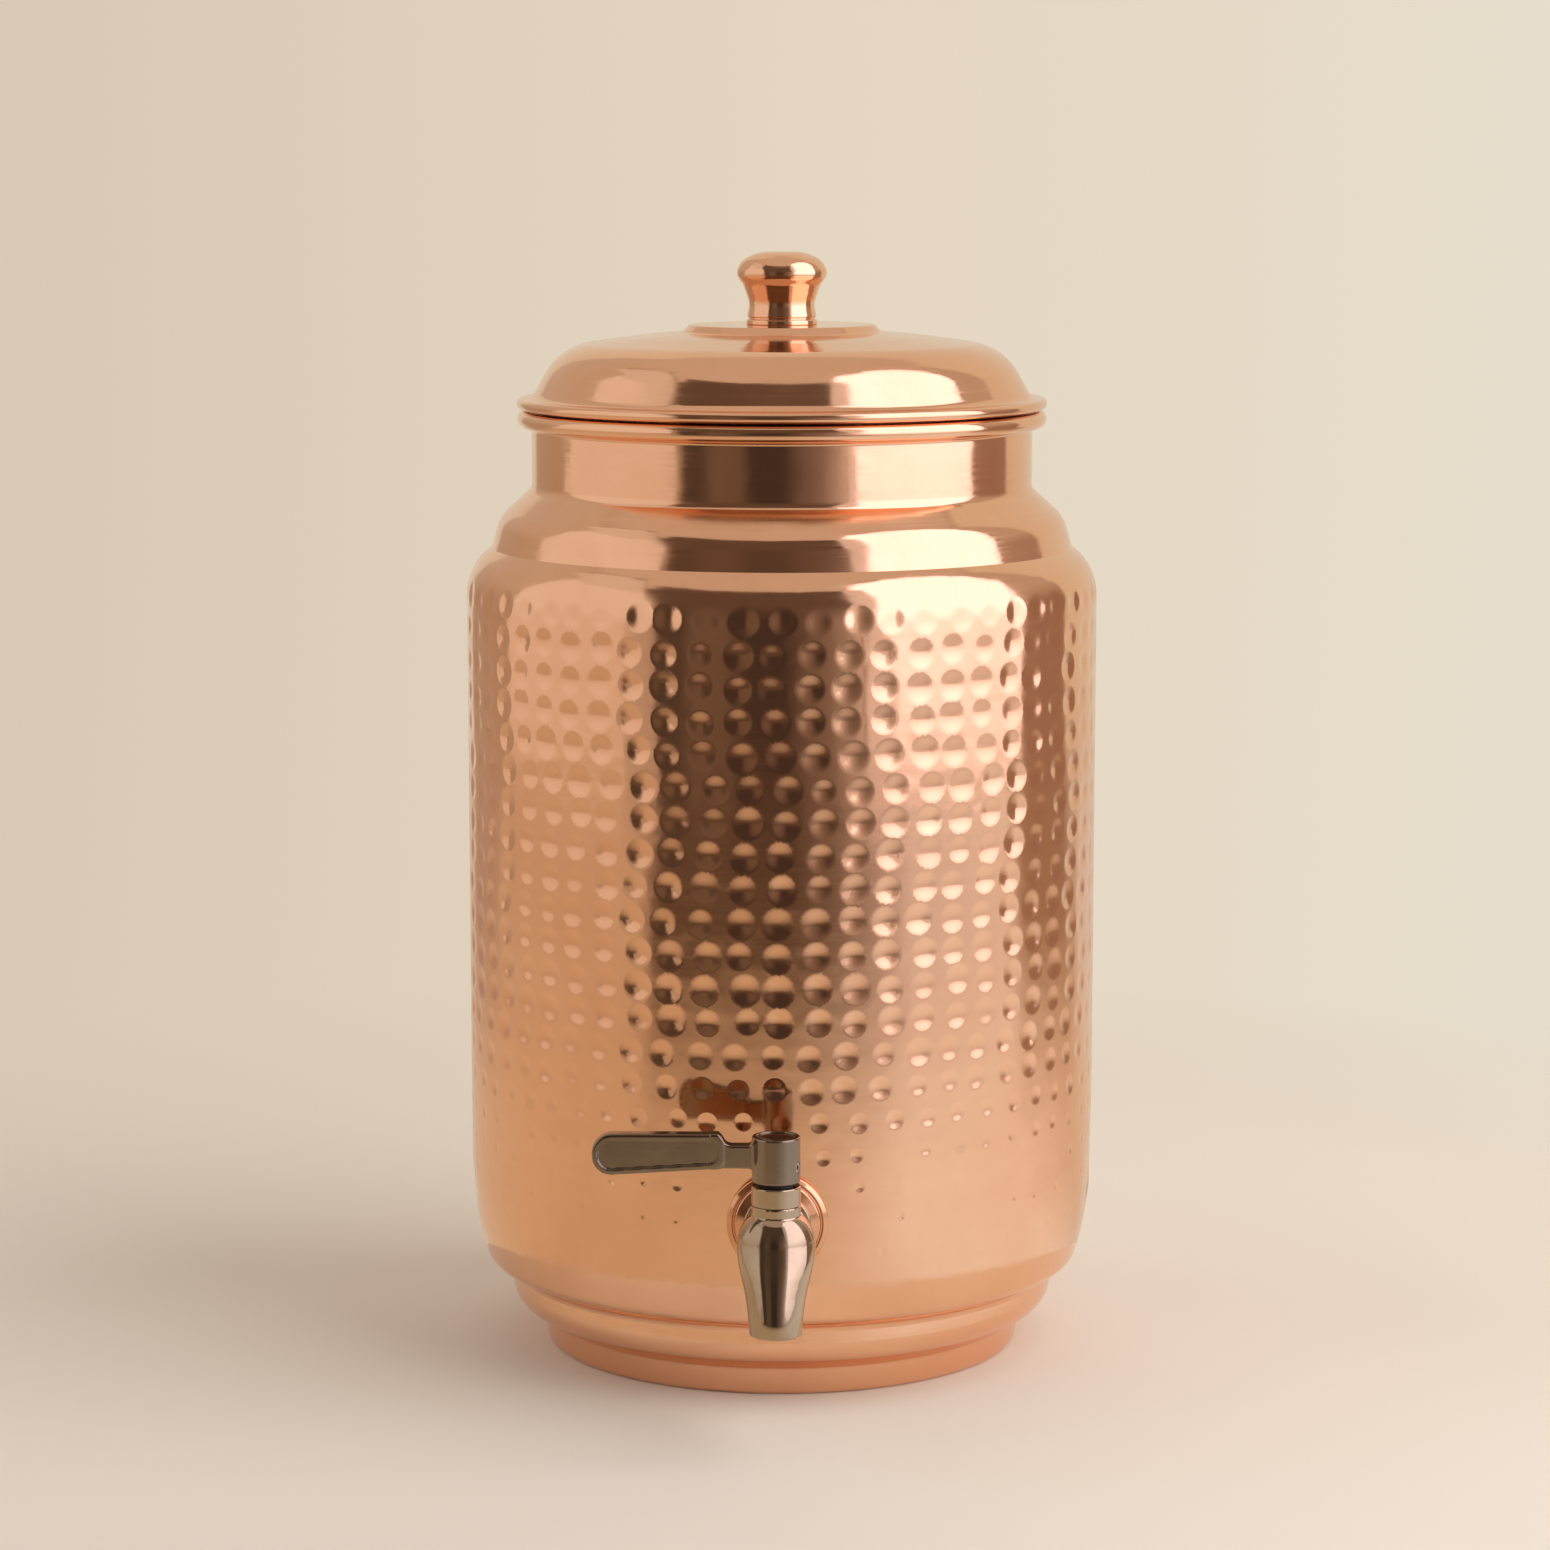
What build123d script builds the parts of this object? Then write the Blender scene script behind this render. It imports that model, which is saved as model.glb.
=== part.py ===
from build123d import *
from math import degrees
import os

# A free-standing copper water dispenser with a lift-off lid and a quarter-turn lever tap.
# Millimetres. The origin is on the vessel's axis, in the plane that the foot rests on.
# +Z is up, the tap is at the front, towards -Y, and its closed lever points to -X.

# ---- Driving dimensions ----
SHEET = 1.0                 # thickness of the copper sheet
BARREL_RADIUS = 100.0
BARREL_FOOT_Z = 24.8        # where the barrel sits on the base cup
TURN_RADIUS = 94.9          # the tight turn between the barrel's bottom and its side
TURN_Z = 27.9
BARREL_CURVE_Z = 47.3       # where the lines of the wall and of the bottom curve cross
SHOULDER_Z = 250.3          # where the lines of the wall and of the shoulder cross
CREASE_RADIUS = 92.0        # the crease between barrel and neck
CREASE_Z = 257.0
CUP_RADIUS = 87.0           # upper ring of the foot
WAIST_RADIUS = 77.2         # the crease between the foot's two rings
WAIST_Z = 8.8
FOOT_RADIUS = 75.6          # lower ring of the foot
BOTTOM_Z = 3.0              # underside of the bottom, clear of the table
STEP_RADIUS = 89.4          # the corner of the neck's sloping step
STEP_Z = 266.4
NECK_RADIUS = 79.2
NECK_Z = 275.6              # where the neck's wall meets its sloping step
LIP_RADIUS = 80.85          # centre line of the rolled lip
LIP_Z = 297.2
LIP_ROLL = 2.8              # radius of the roll's section
RIM_WIRE = 1.5              # radius of the wire in the lip

LID_GAP = 0.3               # between the lip and the lid's hem
HEM_RADIUS = 82.2           # centre line of the lid's rolled hem
HEM_ROLL = 1.65             # radius of the hem's section
LID_SIDE_RADIUS = 80.1      # foot of the lid's steep side
LID_TURN_RADIUS = 70.15     # where the lines of the lid's side and top cross
LID_TURN_Z = 319.6
LID_TOP_RADIUS = 46.0       # where the lid's top flattens
LID_TOP_Z = 322.9
BOSS_RADIUS = 29.2          # flat boss in the middle of the lid
BOSS_Z = 326.6
BOSS_STEP = 2.3             # height and width of the step up to the boss
SKIRT_RADIUS = 77.2         # outside of the collar that drops into the neck
SKIRT_Z = 286.0

KNOB_HEIGHT = 22.8
KNOB_RADIUS = 14.4
KNOB_FOOT_RADIUS = 11.2
SCREW_RADIUS = 2.5          # M5
SCREW_DEPTH = 10.0          # screw inside the knob
HEAD_RADIUS = 4.6
HEAD_HEIGHT = 2.8
WASHER_RADIUS = 6.0
WASHER_HEIGHT = 1.2

TAP_Z = 61.0                # height of the tap's shank
TAP_REACH = 30.0            # from the barrel to the lever's upright axis
SHANK_RADIUS = 8.0          # M16
SHANK_LENGTH = 20.0         # inside the vessel, from the barrel's outside
BORE_RADIUS = 5.0
FLANGE_RADIUS = 15.35
FLANGE_HEIGHT = 5.0
GASKET_RADIUS = 13.0
GASKET_HEIGHT = 2.4         # outer gasket, from the barrel's front line
INNER_GASKET = 3.6          # inner gasket's flat face, from the barrel's front line
SHANK_WASHER_RADIUS = 12.5
SHANK_WASHER = 1.4
NUT_HEIGHT = 7.0
NUT_ACROSS_FLATS = 24.0
COLLAR_RADIUS = 10.2        # collar of the tap's body, against the flange
COLLAR_HEIGHT = 2.6
SEAT_START = 21.5           # from the barrel to the seat ring of the inlet
SEAT_RADIUS = 5.4
CHAMBER_RADIUS = 11.6       # the round valve chamber
CHAMBER_Z = 61.7
BOSS_RADIUS = 7.4           # the short neck of the casting under the gland nut
SPOUT_Z = 37.2              # height of the outlet
SPOUT_REACH = 40.5          # from the barrel to the middle of the outlet
SPOUT_RADIUS = 7.7
OUTLET_RADIUS = 6.2
SPOUT_MID_Z = 48.6          # a section half way down the spout
SPOUT_MID_REACH = 37.2
SPOUT_MID_RADIUS = 9.1
OUTLET_MID_RADIUS = 5.5

PLUG_RADIUS = 5.95
PLUG_BOTTOM_Z = 54.4
PLUG_TOP_Z = 70.2
PLUG_BORE = 3.6
ORING_SECTION = 0.7
ORING_HEIGHTS = [65.9, 68.4]
STEM_RADIUS = 3.9
STEM_TOP_Z = 92.6
RUNNING_FIT = 0.05          # radial clearance of the plug and stem in their bores
GLAND_RADIUS = 7.3
GLAND_Z = 73.8              # top of the tap's body
GLAND_TOP_Z = 79.6
SPIGOT_RADIUS = 6.5         # threaded end of the gland nut
SPIGOT_Z = 71.1
HUB_RADIUS = 7.15
HUB_Z = 80.8
HUB_TOP_Z = 94.4
CAP_RADIUS = 6.0
CAP_Z = 92.7
GRIP_LENGTH = 54.2          # from the stem's axis to the end of the lever
GRIP_THICKNESS = 5.0
GRIP_START = 15.5           # from the stem's axis to the grip's near end
GRIP_TOP_Z = 95.3
GRIP_LOW_Z = 82.6           # underside at the far end
GRIP_NEAR_Z = 84.9          # underside at the hub
PANEL_BORDER = 1.6          # ridge left around the sunk panel
PANEL_DEPTH = 0.5
GRUB_RADIUS = 1.5           # M3
GRUB_Z = 85.5
GRUB_BEARING = 68.0         # degrees from the front towards +X
PIN_RADIUS = 0.7            # stop pin
PIN_CIRCLE = 5.9
PIN_PLAY = 0.25             # radial room for the stop pin in its slot
QUARTER_TURN = 90.0

# ---- Worked out from them ----
WALL_Y = -BARREL_RADIUS     # outside of the barrel at the tap
STEM_Y = WALL_Y - TAP_REACH
HEM_Z = LIP_Z + LIP_ROLL + LID_GAP + HEM_ROLL
HEM_TOP_Z = HEM_Z + HEM_ROLL - 0.05
HEAD_TOP_Z = BOSS_Z - SHEET - WASHER_HEIGHT
BARREL_OUTLINE = [
    (CUP_RADIUS - SHEET, BARREL_FOOT_Z),
    (TURN_RADIUS, TURN_Z),
    (BARREL_RADIUS, BARREL_CURVE_Z),
    (BARREL_RADIUS, SHOULDER_Z),
    (CREASE_RADIUS, CREASE_Z),
]
BARREL_CORNERS = [5.0, 112.0, 18.0]
LID_OUTLINE = [
    (HEM_RADIUS, HEM_TOP_Z),
    (LID_SIDE_RADIUS, HEM_TOP_Z),
    (LID_TURN_RADIUS, LID_TURN_Z),
    (LID_TOP_RADIUS, LID_TOP_Z),
    (BOSS_RADIUS + BOSS_STEP, BOSS_Z - BOSS_STEP),
    (BOSS_RADIUS, BOSS_Z),
    (0, BOSS_Z),
]
LID_CORNERS = [1.8, 19.0, 120.0, 1.5, 1.2]
UPRIGHT = (Align.CENTER, Align.CENTER, Align.MIN)


# ---- Helpers ----
def turned(*edges):
    """A solid of revolution about the vessel's axis, from a closed outline of radius and height."""
    return revolve(Plane.XZ * make_face(Curve() + list(edges)), Axis.Z)


def spun_sheet(points, radii):
    """A spun sheet: the rounded outline is its outside, and the sheet lies to the left of it."""
    skin = FilletPolyline(*points, radius=radii)
    return revolve(Plane.XZ * make_face(offset(skin, SHEET, side=Side.LEFT)), Axis.Z)


def space_within(points, radii, inset, floor):
    """The solid space within a spun outline, drawn in by inset and carried down to the floor."""
    skin = FilletPolyline(*points, radius=radii)
    if inset:
        skin = offset(skin, inset, side=Side.LEFT, closed=False)
    low, high = sorted([skin @ 0, skin @ 1], key=lambda point: point.Y)
    closing = Polyline(high, (0, high.Y), (0, floor), (low.X, floor), low)
    return revolve(Plane.XZ * make_face(Curve() + [skin, closing]), Axis.Z)


def ring(outer, inner, low, high):
    """A plain ring about the vessel's axis."""
    tube = Cylinder(outer, high - low, align=UPRIGHT)
    hole = Cylinder(inner, high - low, align=UPRIGHT)
    return Pos(0, 0, low) * (tube - hole)


def rod(radius, low, high):
    """A plain rod about the vessel's axis."""
    return Pos(0, 0, low) * Cylinder(radius, high - low, align=UPRIGHT)


def roll(radius, section, height):
    """A round hoop about the vessel's axis."""
    return Pos(0, 0, height) * Torus(radius, section)


def at_tap(shape):
    """Turns a shape made about +Z so that its axis is the tap's shank and +Z points out of the barrel."""
    return Pos(0, WALL_Y, TAP_Z) * Rot(90, 0, 0) * shape


def at_stem(shape):
    """Puts a shape made about the vessel's axis on the upright axis of the lever."""
    return Pos(0, STEM_Y, 0) * shape


# ---- Vessel ----
def barrel():
    """The hammered wall, drawn smooth here, with the clearance hole for the tap's shank."""
    wall = spun_sheet(BARREL_OUTLINE, BARREL_CORNERS)
    return wall - at_tap(rod(SHANK_RADIUS + 0.2, -6.0, 3.0))


def neck():
    """The sloping step and the straight neck, with its upper edge rolled into a lip."""
    points = [
        (CREASE_RADIUS, CREASE_Z),
        (STEP_RADIUS, STEP_Z),
        (NECK_RADIUS, NECK_Z),
        (NECK_RADIUS, LIP_Z - 0.2),
    ]
    wall = spun_sheet(points, [12.0, 3.5])
    return wall + roll(LIP_RADIUS, LIP_ROLL, LIP_Z) - rim_wire()


def rim_wire():
    """The wire that the lip is rolled around."""
    return roll(LIP_RADIUS, RIM_WIRE, LIP_Z)


def base_cup():
    """The two stepped rings of the foot, and the bottom of the vessel raised off the table."""
    points = [
        (0, BOTTOM_Z),
        (66.5, BOTTOM_Z),
        (68.2, 0),
        (FOOT_RADIUS, 0),
        (WAIST_RADIUS, WAIST_Z),
        (CUP_RADIUS, 15.0),
        (CUP_RADIUS, BARREL_FOOT_Z),
    ]
    return spun_sheet(points, [1.6, 1.2, 2.0, 1.2, 8.0])


# ---- Lid ----
def lid_dome():
    """The domed lid with its rolled hem, its low boss and the hole for the knob's screw."""
    dome = spun_sheet(LID_OUTLINE, LID_CORNERS)
    hem = roll(HEM_RADIUS, HEM_ROLL, HEM_Z)
    return dome + hem - rod(SCREW_RADIUS + 0.3, BOSS_Z - 5, BOSS_Z + 5)


def lid_skirt():
    """The collar that keeps the lid centred in the neck, shaped to the lid's inside at its top."""
    band = ring(SKIRT_RADIUS, SKIRT_RADIUS - SHEET, SKIRT_Z, BOSS_Z)
    return band & space_within(LID_OUTLINE, LID_CORNERS, SHEET, SKIRT_Z - 1)


def lid_knob():
    """The turned knob: a foot ring, a groove, a waisted stem and a mushroom head."""
    outline = FilletPolyline(
        (0, 0),
        (KNOB_FOOT_RADIUS, 0),
        (KNOB_FOOT_RADIUS, 1.5),
        (10.5, 1.8),
        (10.5, 2.2),
        (10.95, 2.5),
        (10.2, 6.6),
        (12.3, 12.6),
        (KNOB_RADIUS + 0.45, 15.7),
        (12.9, 20.6),
        (8.0, KNOB_HEIGHT),
        (0, KNOB_HEIGHT),
        radius=[0.3, 0.6, 0.15, 0.15, 0.4, 6.0, 4.0, 3.0, 4.5, 9.0],
    )
    hole = rod(SCREW_RADIUS, -1, SCREW_DEPTH + 2)
    return Pos(0, 0, BOSS_Z) * (turned(outline, Line(outline @ 1, outline @ 0)) - hole)


def knob_washer():
    """The washer under the head of the knob's screw."""
    return ring(WASHER_RADIUS, SCREW_RADIUS + 0.2, HEAD_TOP_Z, BOSS_Z - SHEET)


def knob_screw():
    """The pan-head screw that holds the knob, with a cross-cut head."""
    low = HEAD_TOP_Z - HEAD_HEIGHT
    head = rod(HEAD_RADIUS, low, HEAD_TOP_Z)
    head = fillet(head.edges().sort_by(Axis.Z)[0], 1.0)
    slot = Pos(0, 0, low) * (Box(5.0, 0.9, 2.4) + Box(0.9, 5.0, 2.4))
    return head + rod(SCREW_RADIUS - 0.03, HEAD_TOP_Z, BOSS_Z + SCREW_DEPTH) - slot


# ---- Tap, fixed parts ----
def gasket_outer():
    """The outer gasket: flat towards the flange, and moulded to the barrel on the other side."""
    disc = at_tap(rod(GASKET_RADIUS, -8.0, GASKET_HEIGHT) - rod(SHANK_RADIUS + 0.1, -9.0, 9.0))
    return disc - space_within(BARREL_OUTLINE, BARREL_CORNERS, 0, 0)


def gasket_inner():
    """The inner gasket: moulded to the inside of the barrel, and flat towards the washer."""
    disc = at_tap(rod(GASKET_RADIUS, -INNER_GASKET, 9.0) - rod(SHANK_RADIUS + 0.1, -9.0, 10.0))
    return disc & space_within(BARREL_OUTLINE, BARREL_CORNERS, SHEET, 0)


def tap_flange():
    """The domed cup washer that covers the outer gasket."""
    recess = GASKET_RADIUS + 0.4
    outline = FilletPolyline(
        (SHANK_RADIUS + 0.1, GASKET_HEIGHT),
        (recess, GASKET_HEIGHT),
        (recess, 0.6),
        (FLANGE_RADIUS, 0.6),
        (FLANGE_RADIUS, 2.6),
        (10.6, FLANGE_HEIGHT),
        (SHANK_RADIUS + 0.1, FLANGE_HEIGHT),
        radius=[0.3, 0.3, 0.4, 1.8, 4.0],
    )
    return at_tap(turned(outline, Line(outline @ 1, outline @ 0)))


def spout_solid(top_radius, mid_radius, tip_radius, top_z):
    """A down-turned spout of round sections, from the valve chamber to the outlet."""
    sections = [
        Pos(0, STEM_Y, top_z) * Circle(top_radius),
        Pos(0, WALL_Y - SPOUT_MID_REACH, SPOUT_MID_Z) * Circle(mid_radius),
        Pos(0, WALL_Y - SPOUT_REACH, SPOUT_Z) * Circle(tip_radius),
    ]
    return loft(sections)


def tap_body():
    """The tap's casting: shank, collar, neck, round valve chamber, boss for the gland nut, spout."""
    shank = at_tap(rod(SHANK_RADIUS, -SHANK_LENGTH, FLANGE_HEIGHT + 1))
    collar = at_tap(rod(COLLAR_RADIUS, FLANGE_HEIGHT, FLANGE_HEIGHT + COLLAR_HEIGHT))
    arm = Cone(SHANK_RADIUS + 0.2, 9.4, TAP_REACH - FLANGE_HEIGHT - 1, align=UPRIGHT)
    arm = at_tap(Pos(0, 0, FLANGE_HEIGHT + 1) * arm)
    chamber = Pos(0, STEM_Y, CHAMBER_Z) * Sphere(CHAMBER_RADIUS)
    boss = at_stem(rod(BOSS_RADIUS, CHAMBER_Z, GLAND_Z))
    spout = spout_solid(CHAMBER_RADIUS - 0.05, SPOUT_MID_RADIUS, SPOUT_RADIUS, CHAMBER_Z)
    solid = shank + collar + arm + chamber + boss + spout
    inlet = at_tap(rod(BORE_RADIUS, -SHANK_LENGTH - 1, SEAT_START))
    seat = at_tap(rod(SEAT_RADIUS, SEAT_START, TAP_REACH))
    cavity = at_stem(rod(PLUG_RADIUS + RUNNING_FIT, PLUG_BOTTOM_Z - 0.4, GLAND_Z + 1))
    thread = at_stem(rod(SPIGOT_RADIUS + 0.05, SPIGOT_Z, GLAND_Z + 1))
    outlet = spout_solid(4.8, OUTLET_MID_RADIUS, OUTLET_RADIUS, PLUG_BOTTOM_Z)
    tip = Pos(0, WALL_Y - SPOUT_REACH, SPOUT_Z - 1) * Cylinder(OUTLET_RADIUS, 2.0)
    return solid - inlet - seat - cavity - thread - outlet - tip


def port_seal():
    """The seat ring between the inlet bore and the plug, hollowed to the plug's curve."""
    tube = at_tap(ring(SEAT_RADIUS, PLUG_BORE, SEAT_START, TAP_REACH - 3.0))
    return tube - at_stem(rod(PLUG_RADIUS + RUNNING_FIT, PLUG_BOTTOM_Z - 5, PLUG_TOP_Z + 5))


def shank_washer():
    """The flat washer on the shank, inside the vessel."""
    high = -INNER_GASKET
    return at_tap(ring(SHANK_WASHER_RADIUS, SHANK_RADIUS + 0.2, high - SHANK_WASHER, high))


def shank_nut():
    """The hexagon lock nut, with its outer corners turned off."""
    high = -INNER_GASKET - SHANK_WASHER
    low = high - NUT_HEIGHT
    corner_radius = NUT_ACROSS_FLATS / 3 ** 0.5
    hexagon = Pos(0, 0, low) * extrude(RegularPolygon(corner_radius, 6), NUT_HEIGHT)
    turned_off = rod(corner_radius, low, high)
    turned_off = chamfer(turned_off.edges().filter_by(GeomType.CIRCLE), 1.2)
    return at_tap((hexagon & turned_off) - rod(SHANK_RADIUS + 0.03, low - 1, high + 1))


def gland_nut():
    """The bonnet nut: a plain drum outside, and a spigot that screws into the tap's body."""
    drum = rod(GLAND_RADIUS, GLAND_Z, GLAND_TOP_Z)
    drum = chamfer(drum.edges().filter_by(GeomType.CIRCLE), 0.4)
    spigot = rod(SPIGOT_RADIUS, SPIGOT_Z, GLAND_Z)
    bore = rod(STEM_RADIUS + RUNNING_FIT, SPIGOT_Z - 1, GLAND_TOP_Z + 1)
    pin_hole = Pos(0, PIN_CIRCLE, 0) * rod(PIN_RADIUS, GLAND_TOP_Z - 3, GLAND_TOP_Z + 1)
    return at_stem(drum + spigot - bore - pin_hole)


def thrust_washer():
    """The plastic ring that the plug turns against."""
    return at_stem(ring(PLUG_RADIUS, STEM_RADIUS + 0.1, PLUG_TOP_Z + 0.1, SPIGOT_Z))


def hub_washer():
    """The dark ring in the gap between the gland nut and the lever's hub."""
    return at_stem(ring(PIN_CIRCLE - PIN_RADIUS - 0.15, STEM_RADIUS + 0.1, GLAND_TOP_Z, HUB_Z - 0.15))


def stop_pin():
    """The pin that ends the quarter turn, in a slot in the underside of the hub."""
    return at_stem(Pos(0, PIN_CIRCLE, 0) * rod(PIN_RADIUS, GLAND_TOP_Z - 3, HUB_Z + 0.9))


# ---- Tap, turning parts ----
def valve_plug():
    """The plug, with a way in at its side and out at its bottom, and the stem that turns it."""
    solid = rod(PLUG_RADIUS, PLUG_BOTTOM_Z, PLUG_TOP_Z) + rod(STEM_RADIUS, PLUG_TOP_Z, STEM_TOP_Z)
    down = rod(PLUG_BORE, PLUG_BOTTOM_Z - 1, TAP_Z)
    side = Pos(0, 0, TAP_Z) * Rot(0, 90, 0) * rod(PLUG_BORE - 0.2, 0, PLUG_RADIUS + 1)
    solid = solid - down - side - Pos(0, 0, TAP_Z) * Sphere(PLUG_BORE - 0.2)
    for height in ORING_HEIGHTS:
        half = ORING_SECTION + 0.1
        solid -= ring(PLUG_RADIUS + 1, PLUG_RADIUS - 2 * ORING_SECTION, height - half, height + half)
    return at_stem(solid)


def plug_orings():
    """Both O-rings of the plug."""
    radius = PLUG_RADIUS - ORING_SECTION
    return Compound([at_stem(roll(radius, ORING_SECTION, height)) for height in ORING_HEIGHTS])


def grip_outline(inset):
    """The flat face of the grip, seen from the front, drawn in by inset on every side."""
    near = -GRIP_START - inset
    far = -GRIP_LENGTH + inset
    high = GRIP_TOP_Z - inset
    face = make_face(Polyline(
        (near, GRIP_NEAR_Z + inset),
        (far, GRIP_LOW_Z + inset),
        (far, high),
        (near, high),
        close=True,
    ))
    face = fillet(face.vertices().sort_by(Axis.X)[:2], 6.0 - inset)
    return fillet(face.vertices().sort_by(Axis.X)[-2:], 2.4)


def lever():
    """The lever: a drum-shaped hub, a slim neck and a flat grip with a sunk panel on each side."""
    hub = rod(HUB_RADIUS, HUB_Z, HUB_TOP_Z)
    hub = chamfer(hub.edges().filter_by(GeomType.CIRCLE), 0.35)
    half = GRIP_THICKNESS / 2
    grip = Plane.XZ * extrude(grip_outline(0), half, both=True)
    grip = chamfer(grip.edges().filter_by(Plane.XZ), 0.6)
    arm = Pos(-11.0, 0, GRIP_NEAR_Z + 4.1) * Box(16.0, 4.0, 7.8)
    panel = Plane.XZ * Pos(0, 0, half - PANEL_DEPTH) * extrude(grip_outline(PANEL_BORDER), 2.0)
    solid = hub + arm + grip - panel - mirror(panel, Plane.XZ)
    solid -= rod(STEM_RADIUS + 0.03, HUB_Z - 1, HUB_TOP_Z + 1)
    solid -= rod(CAP_RADIUS, CAP_Z, HUB_TOP_Z + 1)
    solid -= stop_slot()
    solid -= grub_place(rod(GRUB_RADIUS, STEM_RADIUS, HUB_RADIUS + 1))
    return at_stem(solid)


def stop_slot():
    """The curved slot in the hub's underside: a quarter turn, and room for the stop pin."""
    half_width = PIN_RADIUS + PIN_PLAY
    pin_room = degrees(half_width / PIN_CIRCLE) + 0.5
    turn = QUARTER_TURN + 2 * pin_room
    groove = ring(PIN_CIRCLE + half_width, PIN_CIRCLE - half_width, HUB_Z - 1, HUB_Z + 1.2)
    sector = Pos(0, 0, HUB_Z - 2) * Cylinder(20, 5, arc_size=turn, align=UPRIGHT)
    return groove & (Rot(0, 0, 90 + pin_room - turn) * sector)


def grub_place(shape):
    """Puts a shape made about +Z on the radial axis of the grub screw."""
    return Pos(0, 0, GRUB_Z) * Rot(0, 0, GRUB_BEARING) * Rot(90, 0, 0) * shape


def grub_screw():
    """The set screw of the hub, with a hexagon socket."""
    socket = Pos(0, 0, 5.6) * extrude(RegularPolygon(0.87, 6), 2.0)
    screw = rod(GRUB_RADIUS, STEM_RADIUS + 0.05, 6.8)
    return at_stem(grub_place(screw - socket))


def hub_cap():
    """The dished disc in the top of the hub."""
    dish = Pos(0, 0, CAP_Z + 26.0) * Sphere(25.1)
    return at_stem(rod(CAP_RADIUS, CAP_Z, CAP_Z + 1.2) - dish)


PARTS = [
    barrel, neck, rim_wire, base_cup,
    lid_dome, lid_skirt, lid_knob, knob_washer, knob_screw,
    tap_body, tap_flange, gasket_outer, gasket_inner, shank_washer, shank_nut,
    port_seal, thrust_washer, gland_nut, hub_washer, stop_pin,
    valve_plug, plug_orings, lever, grub_screw, hub_cap,
]

os.makedirs("parts", exist_ok=True)
for make in PARTS:
    export_step(make(), f"parts/{make.__name__}.step")
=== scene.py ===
from math import asin, atan2, cos, degrees, hypot, pi, radians, sin, sqrt, tan

import bpy
import numpy as np
from mathutils import Matrix, Vector
from mathutils.geometry import delaunay_2d_cdt


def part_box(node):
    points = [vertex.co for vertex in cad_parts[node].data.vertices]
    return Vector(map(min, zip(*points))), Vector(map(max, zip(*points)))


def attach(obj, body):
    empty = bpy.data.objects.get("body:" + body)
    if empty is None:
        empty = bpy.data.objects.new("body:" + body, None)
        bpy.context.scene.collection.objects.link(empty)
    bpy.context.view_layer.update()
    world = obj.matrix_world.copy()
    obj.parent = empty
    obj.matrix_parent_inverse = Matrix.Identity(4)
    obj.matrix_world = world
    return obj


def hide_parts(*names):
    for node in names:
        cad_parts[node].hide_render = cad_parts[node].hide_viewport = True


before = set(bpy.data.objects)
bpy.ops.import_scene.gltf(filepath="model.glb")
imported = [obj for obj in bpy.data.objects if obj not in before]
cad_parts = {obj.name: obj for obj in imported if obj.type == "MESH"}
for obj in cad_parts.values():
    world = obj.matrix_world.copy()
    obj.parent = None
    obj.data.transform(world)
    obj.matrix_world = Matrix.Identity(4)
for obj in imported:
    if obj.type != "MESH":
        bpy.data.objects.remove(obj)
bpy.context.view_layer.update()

# The copper water dispenser's looks. Outlines are in millimetres, and everything placed is in metres.
MM = 0.001


# ---- Places read from the frame, in millimetres ----
def low(node):
    """Lowest corner of a CAD node, in millimetres."""
    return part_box(node)[0] / MM


def high(node):
    """Highest corner of a CAD node, in millimetres."""
    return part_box(node)[1] / MM


SHEET = 1.0  # thickness of the copper
BARREL_RADIUS = high("barrel").x
BARREL_FOOT_Z = low("barrel").z
CREASE_Z = low("neck").z
BOSS_Z = high("lid_dome").z
STEM_Y = (low("hub_cap").y + high("hub_cap").y) / 2
TAP_Z = (low("tap_flange").z + high("tap_flange").z) / 2
GLAND_Z = high("tap_body").z
HUB_Z = low("lever").z


# ---- Outlines: samples of a place and the surface's own direction there ----
def line_normal(a, b):
    """The unit direction to the right of the way from a to b."""
    way = np.subtract(b, a)
    way = way / np.hypot(*way)
    return np.array([way[1], -way[0]])


def arc(centre, radius, start, end, side, turn):
    """Samples along an arc from start to end degrees, one for about each turn degrees.
    Side 1 faces away from the centre, -1 towards it."""
    count = max(2, int(abs(end - start) / turn) + 2)
    angles = np.radians(np.linspace(start, end, count))
    out = np.stack([np.cos(angles), np.sin(angles)], 1)
    return [(np.array(centre) + radius * way, side * way) for way in out]


def rounded(points, radii, turn):
    """Samples along an outline whose inner corners are rounded to these radii."""
    points = [np.array(p, float) for p in points]
    samples = [(points[0], line_normal(points[0], points[1]))]
    for before, corner, after, radius in zip(points, points[1:], points[2:], radii):
        into = line_normal(before, corner)
        out = line_normal(corner, after)
        cross = into[0] * out[1] - into[1] * out[0]
        bend = atan2(cross, float(into @ out))
        side = -1.0 if bend < 0 else 1.0
        back = (before - corner) / np.hypot(*(before - corner))
        reach = radius * tan(abs(bend) / 2)
        centre = corner + back * reach - into * radius * side
        start = degrees(atan2(into[1] * side, into[0] * side))
        samples += arc(centre, radius, start, start + degrees(bend), side, turn)
    samples.append((points[-1], line_normal(points[-2], points[-1])))
    return samples


def straight(*points):
    """Samples along straight runs with sharp corners."""
    samples = []
    for a, b in zip(points, points[1:]):
        normal = line_normal(a, b)
        samples += [(np.array(a, float), normal), (np.array(b, float), normal)]
    return samples


def inner_side(samples):
    """The other side of the sheet, in the opposite order."""
    return [(place - normal * SHEET, -normal) for place, normal in reversed(samples)]


# ---- Meshes ----
SAME_PLACE = 1e-6  # two places nearer than this are one


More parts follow.
